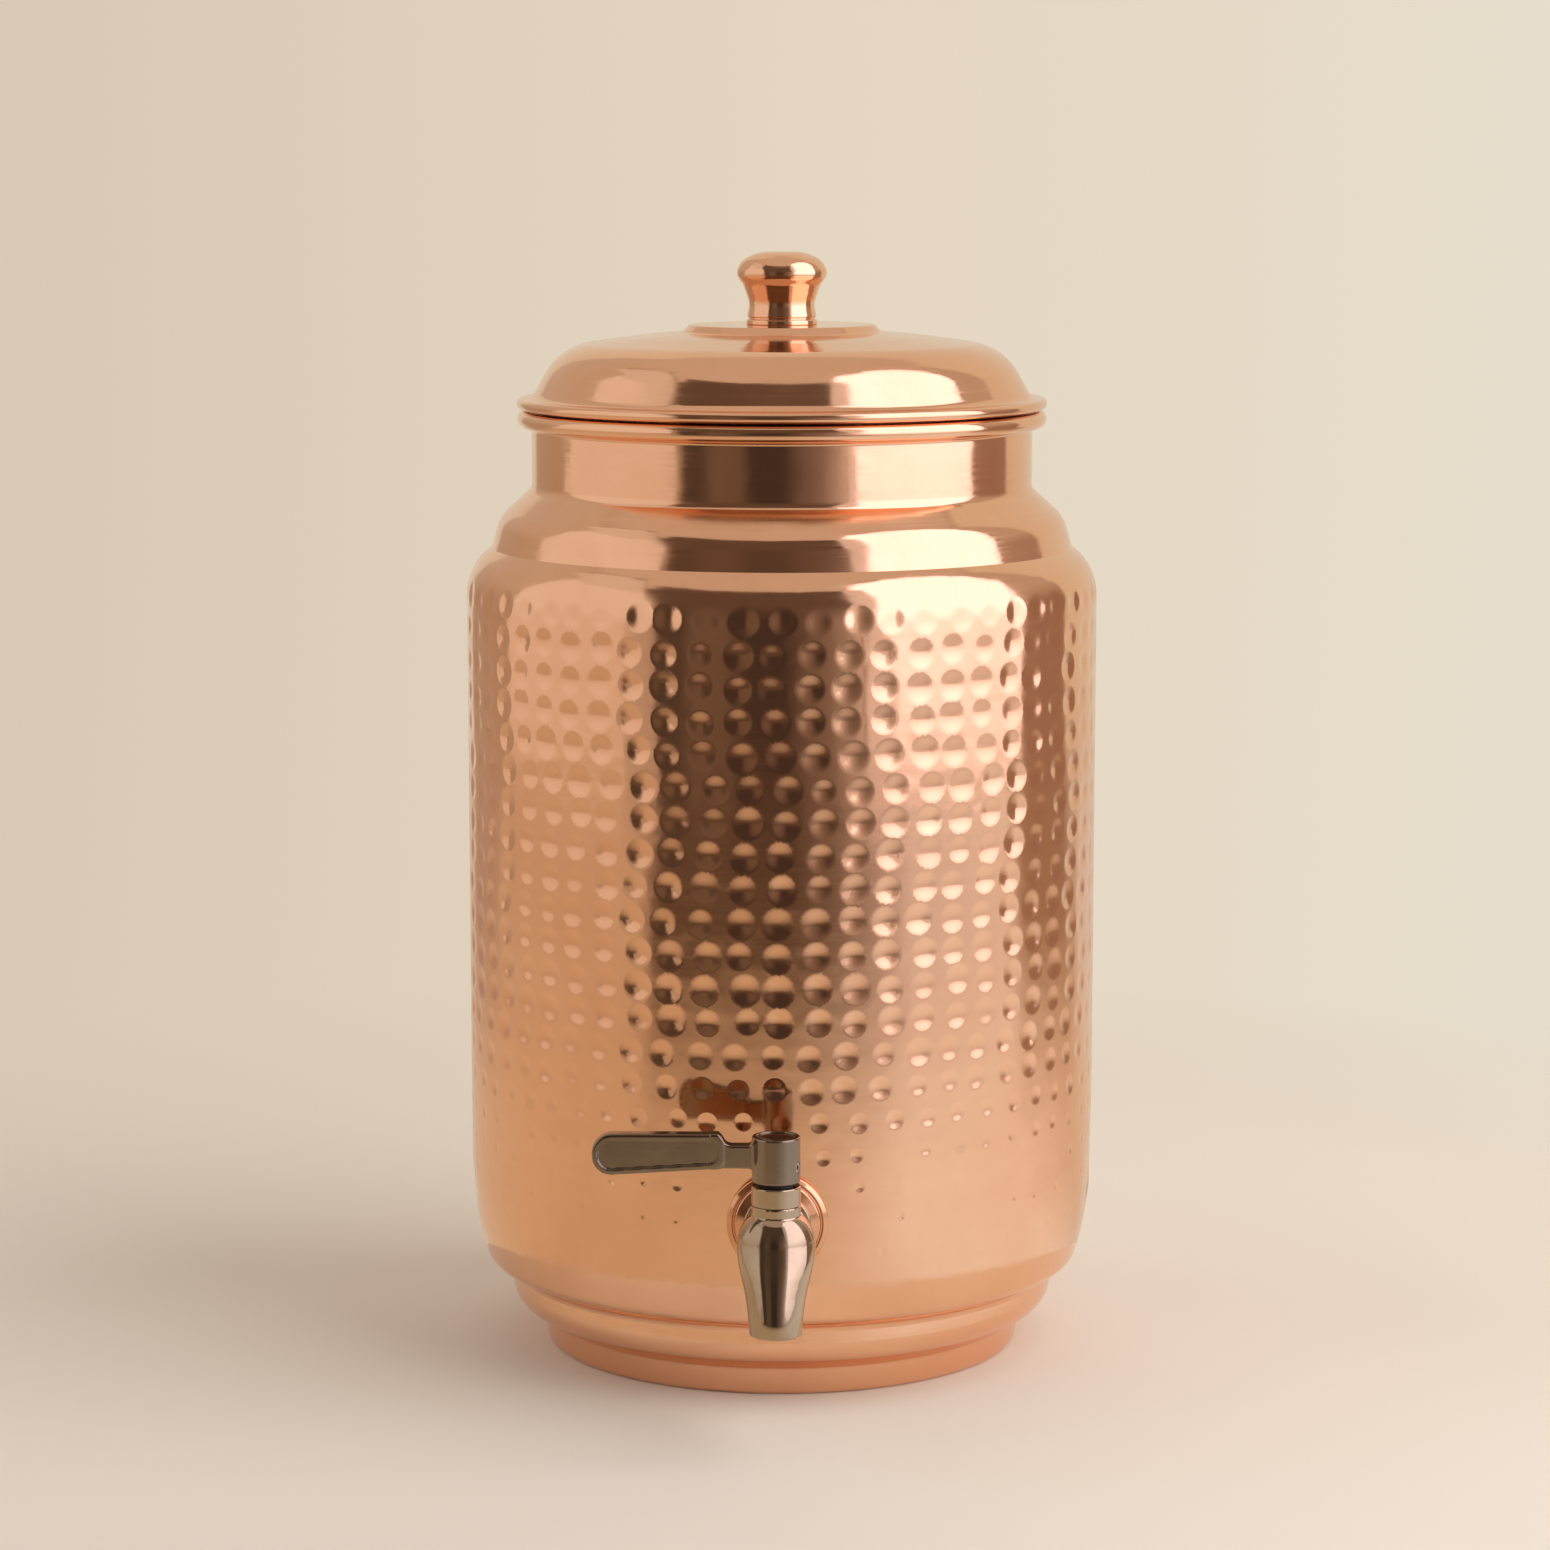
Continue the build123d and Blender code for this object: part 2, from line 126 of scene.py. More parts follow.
def build(name, body, node, material, verts, faces, normals):
    """A piece from its vertices in millimetres, its faces, and a normal for each corner of each face."""
    mesh = bpy.data.meshes.new(name)
    mesh.from_pydata((np.asarray(verts) * MM).tolist(), [], faces)
    mesh.shade_smooth()
    mesh.normals_split_custom_set(normals)
    mesh.materials.append(material)
    piece = bpy.data.objects.new(name, mesh)
    bpy.context.scene.collection.objects.link(piece)
    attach(piece, body)
    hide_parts(node)
    return piece


def spin(samples, steps, place=None):
    """Vertices, faces and corner normals of a closed outline spun about +Z, then moved by place."""
    rings = []
    ring_of = []
    for position, _ in samples:
        if not rings or np.hypot(*(rings[-1] - position)) > SAME_PLACE:
            rings.append(position)
        ring_of.append(len(rings) - 1)
    if np.hypot(*(rings[0] - rings[-1])) < SAME_PLACE:
        rings.pop()
        ring_of = [k if k < len(rings) else 0 for k in ring_of]
    angles = np.arange(steps) * 2 * pi / steps
    around = np.stack([np.cos(angles), np.sin(angles)], 1)
    verts = []
    first = []
    for r, z in rings:
        first.append((len(verts), abs(r) < SAME_PLACE))
        if abs(r) < SAME_PLACE:
            verts.append((0.0, 0.0, z))
        else:
            verts += [(r * c, r * s, z) for c, s in around]

    def corner(sample, step):
        """A vertex number and the surface's direction there."""
        start, pole = first[ring_of[sample]]
        index = start if pole else start + step % steps
        normal = samples[sample][1]
        c, s = around[step % steps]
        return index, (normal[0] * c, normal[0] * s, normal[1])

    faces = []
    normals = []
    for a in range(len(samples)):
        b = (a + 1) % len(samples)
        if ring_of[a] == ring_of[b]:
            continue
        for step in range(steps):
            corners = [corner(a, step), corner(a, step + 1), corner(b, step + 1), corner(b, step)]
            kept = []
            for c in corners:
                if c[0] not in [k[0] for k in kept]:
                    kept.append(c)
            if len(kept) > 2:
                faces.append([c[0] for c in kept])
                normals += [c[1] for c in kept]
    verts = np.array(verts, float)
    normals = np.array(normals, float)
    if place is not None:
        turn = np.array(place.to_3x3())
        verts = verts @ turn.T + np.array(place.translation)
        normals = normals @ turn.T
    return verts, faces, normals


def with_corners(samples):
    """A closed outline whose straight joins at its two ends keep their own directions."""
    first, last = samples[0], samples[-1]
    if np.hypot(*(last[0] - first[0])) <= SAME_PLACE:
        return samples
    closing = line_normal(last[0], first[0])
    return samples + [(last[0], closing), (first[0], closing)]


def sheet_outline(skin):
    """The closed outline of a sheet from its outer side, with square edges."""
    inside = inner_side(skin)
    edge = line_normal(skin[-1][0], inside[0][0])
    return with_corners(skin + [(skin[-1][0], edge), (inside[0][0], edge)] + inside)


def turned(name, body, node, material, samples, steps, place=None, extra=()):
    """A piece made of a closed outline, and any extra ones, spun about one axis."""
    verts, faces, normals = spin(samples, steps, place)
    for more in extra:
        v, f, n = spin(more, steps, place)
        faces += [[i + len(verts) for i in face] for face in f]
        verts = np.concatenate([verts, v])
        normals = np.concatenate([normals, n])
    return build(name, body, node, material, verts, faces, normals)


AT_TAP = Matrix.Translation((0, -BARREL_RADIUS, TAP_Z)) @ Matrix.Rotation(radians(90), 4, "X")
AT_STEM = Matrix.Translation((0, STEM_Y, 0))


# ---- Finishes ----
def node_of(tree, kind, inputs=None, **settings):
    """A shader node with its settings and input values or links."""
    made = tree.nodes.new("ShaderNode" + kind)
    for key, value in settings.items():
        setattr(made, key, value)
    for key, value in (inputs or {}).items():
        if isinstance(value, bpy.types.NodeSocket):
            tree.links.new(value, made.inputs[key])
        else:
            made.inputs[key].default_value = value
    return made


def material_of(name, surface):
    """A material. surface(tree) makes its nodes and gives the last of them."""
    material = bpy.data.materials.new(name)
    material.use_nodes = True
    tree = material.node_tree
    tree.nodes.clear()
    node_of(tree, "OutputMaterial", {0: surface(tree).outputs[0]})
    return material


def place_in(tree):
    """The place in a piece, as one link and as three."""
    place = node_of(tree, "TexCoord").outputs["Object"]
    return (place, *node_of(tree, "SeparateXYZ", {0: place}).outputs)


def length_of(tree, vector):
    """The length of a vector."""
    return node_of(tree, "VectorMath", {0: vector}, operation="LENGTH").outputs["Value"]


def math_of(tree, operation, a, b, clamp=False):
    """The result of one sum on two values or links."""
    made = node_of(tree, "Math", {0: a, 1: b}, operation=operation, use_clamp=clamp)
    return made.outputs[0]


def ramp(tree, value, start, end, to_start=0.0, to_end=1.0):
    """A value carried from one range to another, held at the ends."""
    inputs = {"Value": value, "From Min": start, "From Max": end, "To Min": to_start, "To Max": to_end}
    return node_of(tree, "MapRange", inputs, clamp=True).outputs[0]


def noise(tree, vector, scale, detail, rough, distortion=0.0):
    """A cloudy value between 0 and 1."""
    inputs = {"Vector": vector, "Scale": scale, "Detail": detail, "Roughness": rough}
    inputs["Distortion"] = distortion
    return node_of(tree, "TexNoise", inputs).outputs["Fac"]


def mixed(tree, share, a, b):
    """Colour a where share is 0, colour b where it is 1."""
    return node_of(tree, "Mix", {0: share, 6: a, 7: b}, data_type="RGBA").outputs[2]


def bump(tree, height, distance, under=None):
    """The surface's direction with this height on it, over another such direction."""
    inputs = {"Distance": distance, "Height": height}
    if under is not None:
        inputs["Normal"] = under
    return node_of(tree, "Bump", inputs).outputs[0]


def lathe(tree, slant, around, across):
    """A coordinate that changes fast across the lathe's lines and slowly along them.
    Slant is -1 where the surface narrows upwards and 1 where it widens."""
    place, x, y, z = place_in(tree)
    radius = length_of(tree, node_of(tree, "CombineXYZ", {0: x, 1: y}).outputs[0])
    travel = math_of(tree, "ADD", z, math_of(tree, "MULTIPLY", radius, slant))
    scaled = [(x, around), (y, around), (travel, across)]
    parts = {k: math_of(tree, "MULTIPLY", value, scale) for k, (value, scale) in enumerate(scaled)}
    return node_of(tree, "CombineXYZ", parts).outputs[0], place


def brush(tree, *scales):
    """A coordinate with its own scale each way: the brushing runs the way that has the smallest."""
    place = place_in(tree)[0]
    scaled = node_of(tree, "VectorMath", {0: place, 1: scales}, operation="MULTIPLY")
    return scaled.outputs[0], place


STAIN_SHARE = 0.35  # the strongest that handling marks reach
WAVE_DEPTH = 0.00003


def metal(name, tone, stain, rough, line_rough, line_depth, lines, patch=22.0, pit=None, wobble=0.0):
    """A metal with lathe or brush lines, cloudy handling marks, faint stains and fine scratches.
    Lines is lathe or brush with its values. Patch is the scale of the handling marks, pit a mesh
    attribute that darkens the metal, and wobble the depth of its unevenness."""
    def surface(tree):
        along, place = lines[0](tree, *lines[1:])
        fine = noise(tree, along, 1.0, 4.0, 0.62)
        broad = noise(tree, along, 0.21, 2.0, 0.5)
        clouds = noise(tree, place, patch, 4.0, 0.6, 0.4)
        specks = noise(tree, place, patch * 17.0, 3.0, 0.7)
        speckled = ramp(tree, specks, 0.60, 0.74, 0.0, 0.30 * STAIN_SHARE)
        stained = ramp(tree, clouds, 0.42, 0.72, 0.0, STAIN_SHARE)
        share = math_of(tree, "ADD", stained, speckled, clamp=True)
        if pit is not None:
            depth = node_of(tree, "Attribute", attribute_name=pit).outputs["Fac"]
            share = math_of(tree, "ADD", share, math_of(tree, "MULTIPLY", depth, 0.25), clamp=True)
        share = math_of(tree, "ADD", share, ramp(tree, broad, 0.3, 0.7, 0.0, 0.10), clamp=True)
        line_part = ramp(tree, fine, 0.35, 0.70, 0.0, line_rough)
        cloud_part = ramp(tree, clouds, 0.35, 0.70, rough * 0.7, rough * 1.3)
        grain = math_of(tree, "ADD", fine, math_of(tree, "MULTIPLY", broad, 1.5))
        normal = bump(tree, grain, line_depth)
        normal = bump(tree, clouds, WAVE_DEPTH, normal)
        if wobble > 0:
            normal = bump(tree, noise(tree, place, 95.0, 1.0, 0.4, 0.3), wobble, normal)
        return node_of(tree, "BsdfPrincipled", {
            "Base Color": mixed(tree, share, (*tone, 1), (*stain, 1)), "Metallic": 1.0,
            "Roughness": math_of(tree, "ADD", line_part, cloud_part), "Normal": normal,
        })
    return material_of(name, surface)


def plain(name, tone, dark, rough, grain, grain_depth, sheen=0.0):
    """Rubber or plastic: a slightly uneven colour, and a moulded grain."""
    def surface(tree):
        place = place_in(tree)[0]
        clouds = noise(tree, place, 60.0, 3.0, 0.6)
        fine = noise(tree, place, grain, 3.0, 0.6)
        return node_of(tree, "BsdfPrincipled", {
            "Base Color": mixed(tree, ramp(tree, clouds, 0.3, 0.7), (*tone, 1), (*dark, 1)),
            "Roughness": ramp(tree, fine, 0.3, 0.7, rough - 0.08, rough + 0.08),
            "Sheen Weight": sheen, "Normal": bump(tree, fine, grain_depth),
        })
    return material_of(name, surface)


# Each tone, and what it is where it is stained.
COPPER = (0.93, 0.56, 0.355), (0.80, 0.42, 0.24)
# A darker copy of the copper for the tap's flange: its darkness is painted shade.
SHADED_COPPER = (0.84, 0.45, 0.26), (0.56, 0.26, 0.13)
NICKEL = (0.50, 0.385, 0.265), (0.33, 0.235, 0.15)
DULL_NICKEL = (0.285, 0.225, 0.165), (0.19, 0.14, 0.10)
STEEL = (0.62, 0.60, 0.57), (0.45, 0.43, 0.40)
BRASS = (0.82, 0.62, 0.30), (0.60, 0.42, 0.18)
BLACK = (0.022, 0.020, 0.019), (0.010, 0.009, 0.009)
WHITE = (0.83, 0.82, 0.79), (0.74, 0.73, 0.70)

HAMMERED = metal("hammered_copper", *COPPER, 0.10, 0.05, 1.2e-6, (lathe, 0.0, 30.0, 900.0),
                 pit="hammer_pit", wobble=1.3e-4)
COPPER_UP = metal("brushed_copper", *COPPER, 0.08, 0.09, 4.0e-6, (lathe, -1.0, 12.0, 1100.0), wobble=9.0e-5)
COPPER_DOWN = metal("foot_copper", *COPPER, 0.12, 0.12, 3.0e-6, (lathe, 1.0, 12.0, 900.0), wobble=6.0e-5)
# The flange's copper is painted darker, as painted shade.
FLANGE_COPPER = metal("flange_copper", *SHADED_COPPER, 0.08, 0.06, 1.5e-6, (brush, 400, 400, 400), 60.0)
TAP_METAL = metal("polished_nickel", *NICKEL, 0.08, 0.05, 6.0e-7, (brush, 500, 500, 160), 60.0)
LEVER_METAL = metal("brushed_nickel", *DULL_NICKEL, 0.13, 0.12, 2.0e-6, (brush, 120, 900, 2200), 70.0)
PLAIN_STEEL = metal("plain_steel", *STEEL, 0.24, 0.12, 2.5e-6, (brush, 900, 900, 900), 90.0)
VALVE_BRASS = metal("valve_brass", *BRASS, 0.22, 0.12, 2.5e-6, (brush, 700, 700, 2500), 80.0)
RUBBER = plain("black_rubber", *BLACK, 0.62, 1800.0, 0.00002, sheen=0.1)
PLASTIC = plain("white_plastic", *WHITE, 0.42, 900.0, 0.000008)


# ---- Hammered barrel ----
SEED = 20
COLUMNS = 56
ROWS = 20
ROW_LOW_Z = 50.7
ROW_PITCH = 10.12
MARK_RADIUS = 5.15
LARGEST_RADIUS = 5.5
MARK_SLOPE = 0.135  # steepest slope inside a mark
LOW_RADII = [1.5, 1.7, 2.1, 2.7, 3.4, 4.1, 4.6, 4.9]  # marks of the lowest rows
LOW_CHANCES = [0.45, 0.5, 0.65, 0.85, 0.97]  # how many of their marks there are
DEPTH_PER_SLOPE = 3 * sqrt(3) / 8  # depth of a bowl for its slope and radius
PHASE_HELD = 0.75  # share of a row's phase that the next row keeps
PHASE_DRIFT = 0.28  # the most that a row adds to it, in pitches
AROUND_SCATTER = 0.05  # in pitches
ALONG_SCATTER = 0.35
SIZE_SCATTER = 0.06  # as a share
SLOPE_SCATTER = 0.12
HOLE_RADIUS = 8.2
CLEAR_RADIUS = 21.0  # no marks this near the tap's axis
HOLE_STEPS = 48
EDGE_STEPS = 224
AROUND_HOLE = (11.0, 14.0, 17.0, 20.0)  # radii of the plain rings about the hole
POINTS_AT_ONCE = 4000


def barrel_skin():
    """The barrel's outer outline, closely sampled, with its length along the outline."""
    corner = high("barrel").x
    points = [
        (low("base_cup").x * -1 - SHEET, BARREL_FOOT_Z),
        (corner - 5.1, BARREL_FOOT_Z + 3.1),
        (corner, BARREL_FOOT_Z + 22.5),
        (corner, CREASE_Z - 6.7),
        (corner - 8.0, CREASE_Z),
    ]
    samples = rounded(points, [5.0, 112.0, 18.0], turn=0.7)
    place = np.array([p for p, _ in samples])
    normal = np.array([n for _, n in samples])
    length = np.concatenate([[0.0], np.cumsum(np.hypot(*np.diff(place, axis=0).T))])
    keep = np.concatenate([[True], np.diff(length) > 1e-9])
    return place[keep], normal[keep], length[keep]


SKIN_PLACE, SKIN_NORMAL, SKIN_LENGTH = barrel_skin()


def height_to_length(z):
    """How far along the outline a height is."""
    return np.interp(z, SKIN_PLACE[:, 1], SKIN_LENGTH)


TAP_AROUND = -pi / 2 * BARREL_RADIUS
TAP_ALONG = height_to_length(TAP_Z)


def hammer_marks():
    """Centre (around, along), radius and depth of each mark, in rows with a drifting phase."""
    random = np.random.default_rng(SEED)
    marks = []
    pitch = 2 * pi * BARREL_RADIUS / COLUMNS
    phase = 0.2
    for row in range(ROWS):
        phase = PHASE_HELD * phase + random.uniform(-PHASE_DRIFT, PHASE_DRIFT)
        along_row = height_to_length(ROW_LOW_Z + ROW_PITCH * row)
        size = LOW_RADII[row] if row < len(LOW_RADII) else MARK_RADIUS
        chance = LOW_CHANCES[row] if row < len(LOW_CHANCES) else 1.0
        for column in range(COLUMNS):
            place = column + phase + random.normal(0, AROUND_SCATTER)
            around = place * pitch - pi * BARREL_RADIUS
            along = along_row + random.normal(0, ALONG_SCATTER)
            radius = min(size * random.normal(1.0, SIZE_SCATTER), LARGEST_RADIUS)
            depth = MARK_SLOPE * random.normal(1.0, SLOPE_SCATTER) * radius * DEPTH_PER_SLOPE
            away = hypot(around - TAP_AROUND, along - TAP_ALONG)
            if random.uniform() < chance and away > CLEAR_RADIUS + radius:
                marks.append((around, along, radius, depth))
    return np.array(marks)


MARKS = hammer_marks()


def pressed(points):
    """Depth of the hammering at each (around, along) point, and its slope each way."""
    depth = np.zeros(len(points))
    slope = np.zeros((len(points), 2))
    round_trip = 2 * pi * BARREL_RADIUS
    for start in range(0, len(points), POINTS_AT_ONCE):
        some = slice(start, start + POINTS_AT_ONCE)
        du = points[some, 0][:, None] - MARKS[:, 0]
        du -= round_trip * np.round(du / round_trip)
        dv = points[some, 1][:, None] - MARKS[:, 1]
        inside = np.maximum(1 - (du ** 2 + dv ** 2) / MARKS[:, 2] ** 2, 0)
        steep = 4 * MARKS[:, 3] * inside / MARKS[:, 2] ** 2
        depth[some] = (MARKS[:, 3] * inside ** 2).sum(1)
        slope[some, 0] = (steep * du).sum(1)
        slope[some, 1] = (steep * dv).sum(1)
    return depth, slope


def about_tap(radii, count, offset):
    """Points (around, along) in rings about the tap's axis."""
    points = []
    for radius in radii:
        for k in range(count):
            angle = 2 * pi * (k + offset) / count
            points.append((TAP_AROUND + radius * cos(angle), TAP_ALONG + radius * sin(angle)))
    return points


def sheet_points(rings, band_step):
    """Points (around, along) over the sheet: its edges, the hole, rings about each mark, and plain bands.
    Rings are shares of a mark's radius and their counts, and band_step is the spacing at both ends."""
    points = []
    for around, along, radius, _ in MARKS:
        for share, count in rings:
            for k in range(count):
                angle = 2 * pi * (k + 0.5) / count
                reach = share * radius if count > 1 else 0.0
                points.append((around + reach * cos(angle), along + reach * sin(angle)))
    clear = MARK_RADIUS * 1.25
    first_row = MARKS[:, 1].min() - clear
    last_row = MARKS[:, 1].max() + clear
    total = SKIN_LENGTH[-1]
    turn_end = height_to_length(BARREL_FOOT_Z + 7.0)
    levels = list(np.arange(band_step, turn_end, band_step))
    levels += list(np.linspace(turn_end, first_row, int((first_row - turn_end) / 3.0) + 2))
    levels += list(np.linspace(last_row, total - band_step, int((total - last_row) / 1.2) + 1))
    steps = np.arange(EDGE_STEPS)
    for k, level in enumerate(levels):
        offset = 0.5 * (k % 2)
        around = ((steps + offset) / EDGE_STEPS * 2 - 1) * pi * BARREL_RADIUS
        points += [(u, level) for u in around]
    points += about_tap(AROUND_HOLE, 36, 0.5)
    edge = (steps / EDGE_STEPS * 2 - 1) * pi * BARREL_RADIUS
    bottom = [(u, 0.0) for u in edge]
    top = [(u, total) for u in edge]
    hole = about_tap([HOLE_RADIUS], HOLE_STEPS, 0.0)
    room = HOLE_RADIUS + 1.5
    points = [p for p in points if hypot(p[0] - TAP_AROUND, p[1] - TAP_ALONG) > room]
    return np.array(bottom + top + hole + points)


def sheet_triangles(points):
    """Triangles over the rolled-up sheet, without the hole, from a map that keeps its shape."""
    swell = np.exp(points[:, 1] / BARREL_RADIUS)
    angle = points[:, 0] / BARREL_RADIUS
    flat = [Vector((s * cos(a), s * sin(a))) for s, a in zip(swell, angle)]
    hole_start = 2 * EDGE_STEPS
    loop = [(hole_start + k, hole_start + (k + 1) % HOLE_STEPS) for k in range(HOLE_STEPS)]
    loop += [(k, (k + 1) % EDGE_STEPS) for k in range(EDGE_STEPS)]
    made = delaunay_2d_cdt(flat, loop, [], 0, 1e-9)
    origin = [group[0] for group in made[3]]
    faces = np.array([[origin[i] for i in face] for face in made[2]])
    all_bottom = (faces < EDGE_STEPS).all(1)
    all_hole = ((faces >= hole_start) & (faces < hole_start + HOLE_STEPS)).all(1)
    return faces[~(all_bottom | all_hole)]


def sheet_side(points, inset, facing):
    """Vertices, normals and depths of one side of the hammered sheet."""
    depth, slope = pressed(points)
    columns = [*SKIN_PLACE.T, *SKIN_NORMAL.T]
    r, z, nr, nz = [np.interp(points[:, 1], SKIN_LENGTH, column) for column in columns]
    size = np.hypot(nr, nz)
    nr, nz = nr / size, nz / size
    angle = points[:, 0] / BARREL_RADIUS
    c, s = np.cos(angle), np.sin(angle)
    r = r - nr * (inset + depth)
    z = z - nz * (inset + depth)
    verts = np.stack([r * c, r * s, z], 1)
    out = np.stack([nr * c, nr * s, nz], 1)
    around = np.stack([-s, c, np.zeros_like(s)], 1)
    along = np.stack([-nz * c, -nz * s, nr], 1)
    # The surface is deepest at a mark's centre, so the normal leans towards it.
    normal = out - around * slope[:, :1] - along * slope[:, 1:]
    normal /= np.linalg.norm(normal, axis=1)[:, None]
    return verts, normal * facing, depth


def bridge(a, b, outward):
    """Quads between two rings of vertex numbers."""
    count = len(a)
    quads = []
    for k in range(count):
        j = (k + 1) % count
        quads.append([a[k], a[j], b[j], b[k]] if outward else [a[k], b[k], b[j], a[j]])
    return quads


def hammered_barrel():
    """The barrel's sheet with every hammer mark pressed into it, on both sides."""
    close_rings = [(0, 1), (0.25, 8), (0.5, 14), (0.75, 16), (1.0, 18)]
    loose_rings = [(0, 1), (0.6, 6), (1.0, 10)]
    outer = sheet_points(close_rings, 0.5)
    inner = sheet_points(loose_rings, 1.0)
    outer_verts, outer_normals, outer_depth = sheet_side(outer, 0.0, 1.0)
    inner_verts, inner_normals, inner_depth = sheet_side(inner, SHEET, -1.0)
    outer_faces = sheet_triangles(outer)[:, ::-1]
    inner_faces = sheet_triangles(inner) + len(outer_verts)
    verts = np.concatenate([outer_verts, inner_verts])
    vertex_normals = np.concatenate([outer_normals, inner_normals])
    faces = np.concatenate([outer_faces, inner_faces])
    corner_normals = vertex_normals[faces.ravel()]
    shift = len(outer_verts)
    bottom = np.arange(EDGE_STEPS)
    top = bottom + EDGE_STEPS
    hole = 2 * EDGE_STEPS + np.arange(HOLE_STEPS)
    quads = bridge(bottom, bottom + shift, False)
    quads += bridge(top, top + shift, True)
    quads += bridge(hole, hole + shift, True)
    quad_normals = []
    for quad in quads:
        a, b, c, d = verts[quad]
        flat = np.cross(c - a, d - b)
        quad_normals += [flat / np.linalg.norm(flat)] * 4
    all_normals = np.concatenate([corner_normals, np.array(quad_normals)])
    all_faces = faces.tolist() + [[int(i) for i in quad] for quad in quads]
    piece = build("hammered_barrel", "vessel", "barrel", HAMMERED,
                  verts, all_faces, all_normals)
    pit = piece.data.attributes.new("hammer_pit", "FLOAT", "POINT")
    pits = np.concatenate([outer_depth, inner_depth]) / outer_depth.max()
    pit.data.foreach_set("value", np.clip(pits, 0, 1).astype(np.float32))
    return piece


# ---- Spun sheet pieces ----
WIRE_RADIUS = 1.5  # of the wire in the neck's lip


def spun_neck():
    """The sloping step and the straight neck, blended into the rolled lip."""
    corner = -low("neck").x
    wall = corner - 12.8
    lip_z = high("neck").z - 2.8
    lip_r = wall + 1.65
    roll = 2.8
    blend = 1.2
    drop = sqrt((roll + blend) ** 2 - (lip_r - wall - blend) ** 2)
    blend_z = lip_z - drop
    points = [
        (corner, CREASE_Z), (corner - 2.6, CREASE_Z + 9.4), (wall, CREASE_Z + 18.6), (wall, blend_z),
    ]
    skin = rounded(points, [12.0, 3.5], turn=4.0)
    inside = inner_side(skin)
    meet = degrees(atan2(drop, lip_r - wall - blend))
    skin += arc((wall + blend, blend_z), blend, 180.0, meet, -1.0, 10.0)
    end = 180.0 + degrees(asin(0.322))  # where the roll meets the wall inside
    skin += arc((lip_r, lip_z), roll, meet - 180.0, end, 1.0, 8.0)
    wire_room = arc((lip_r, lip_z), WIRE_RADIUS, 360.0, 0.0, -1.0, 12.0)
    samples = with_corners(skin + inside)
    turned("spun_neck", "vessel", "neck", COPPER_UP, samples, 256, extra=[wire_room])


def spun_foot():
    """The two stepped rings of the foot, flared on to the barrel at the braze, and the raised bottom."""
    cup = -low("base_cup").x
    points = [
        (0, 3.0), (66.5, 3.0), (68.2, 0), (75.6, 0), (77.2, 8.8), (cup, 15.0),
        (cup, BARREL_FOOT_Z - 0.6), (cup + 2.6, BARREL_FOOT_Z + 0.95),
    ]
    skin = rounded(points, [1.6, 1.2, 2.0, 1.2, 8.0, 2.6], turn=6.0)
    turned("spun_foot", "vessel", "base_cup", COPPER_DOWN, sheet_outline(skin), 256)


def spun_lid():
    """The domed lid, its rolled hem and its low boss, with the hole for the screw."""
    roll = 1.65
    hem_r = high("lid_dome").x - roll
    hem_z = low("lid_dome").z + roll
    hem_top = hem_z + roll - 0.05
    hole = 2.8
    join = degrees(asin((hem_top - hem_z) / roll))
    under = degrees(asin((hem_top - SHEET - hem_z) / roll))
    hem = arc((hem_r, hem_z), roll, 180.0 - under, 540.0 - join, 1.0, 8.0)
    points = [
        (hem_r + roll * cos(radians(180.0 - join)), hem_top),
        (hem_r - 3.1, hem_top),
        (hem_r - 12.05, BOSS_Z - 7.0),
        (46.0, BOSS_Z - 3.7),
        (31.5, BOSS_Z - 2.3),
        (29.2, BOSS_Z),
        (hole, BOSS_Z),
    ]
    skin = rounded(points, [3.8, 19.0, 120.0, 1.5, 1.2], turn=3.0)
    inside = inner_side(skin)
    edge = [(skin[-1][0], np.array([-1.0, 0.0])), (inside[0][0], np.array([-1.0, 0.0]))]
    inside = [s for s in inside if s[0][0] < hem_r - 1.6]
    turned("spun_lid", "lid", "lid_dome", COPPER_UP, hem + skin + edge + inside, 256)


def turned_knob():
    """The knob: a foot ring, a groove, a waisted stem and a mushroom head."""
    hole = 2.5
    points = [
        (hole, 0), (11.2, 0), (11.2, 1.5), (10.5, 1.8), (10.5, 2.2), (10.95, 2.5), (10.2, 6.6),
        (12.3, 12.6), (14.9, 15.8), (12.6, 20.2), (7.2, 22.8), (0, 22.8),
    ]
    samples = rounded(points, [0.3, 0.6, 0.15, 0.15, 0.4, 6.0, 3.6, 3.6, 6.0, 12.0], turn=6.0)
    bore = straight((0, 12.0), (hole, 12.0), (hole, 0))
    turned("turned_knob", "lid", "lid_knob", COPPER_UP, samples + bore, 128,
           Matrix.Translation((0, 0, BOSS_Z)))


def pressed_flange():
    """The domed cup washer behind the tap, with a pressed ring near its edge."""
    points = [
        (8.1, 2.4), (13.4, 2.4), (13.4, 0.6), (15.35, 0.6), (15.35, 2.4), (13.9, 3.2), (13.3, 2.9),
        (12.7, 3.9), (9.6, 5.0), (8.1, 5.0),
    ]
    samples = with_corners(rounded(points, [0.3, 0.3, 0.4, 0.7, 0.5, 0.3, 0.6, 3.4], turn=8.0))
    turned("pressed_flange", "vessel", "tap_flange", FLANGE_COPPER, samples, 128,
           AT_TAP)


def bonnet_nut():
    """The plain drum under the lever, and its spigot in the tap."""
    bore, spigot, drum = 3.95, 6.5, 7.3
    foot, top = low("gland_nut").z, high("gland_nut").z
    points = [(bore, foot), (spigot, foot), (spigot, GLAND_Z), (drum, GLAND_Z), (drum, top), (bore, top)]
    samples = with_corners(rounded(points, [0.3, 0.1, 0.35, 0.45], turn=12.0))
    turned("bonnet_nut", "vessel", "gland_nut", TAP_METAL, samples, 96, AT_STEM)


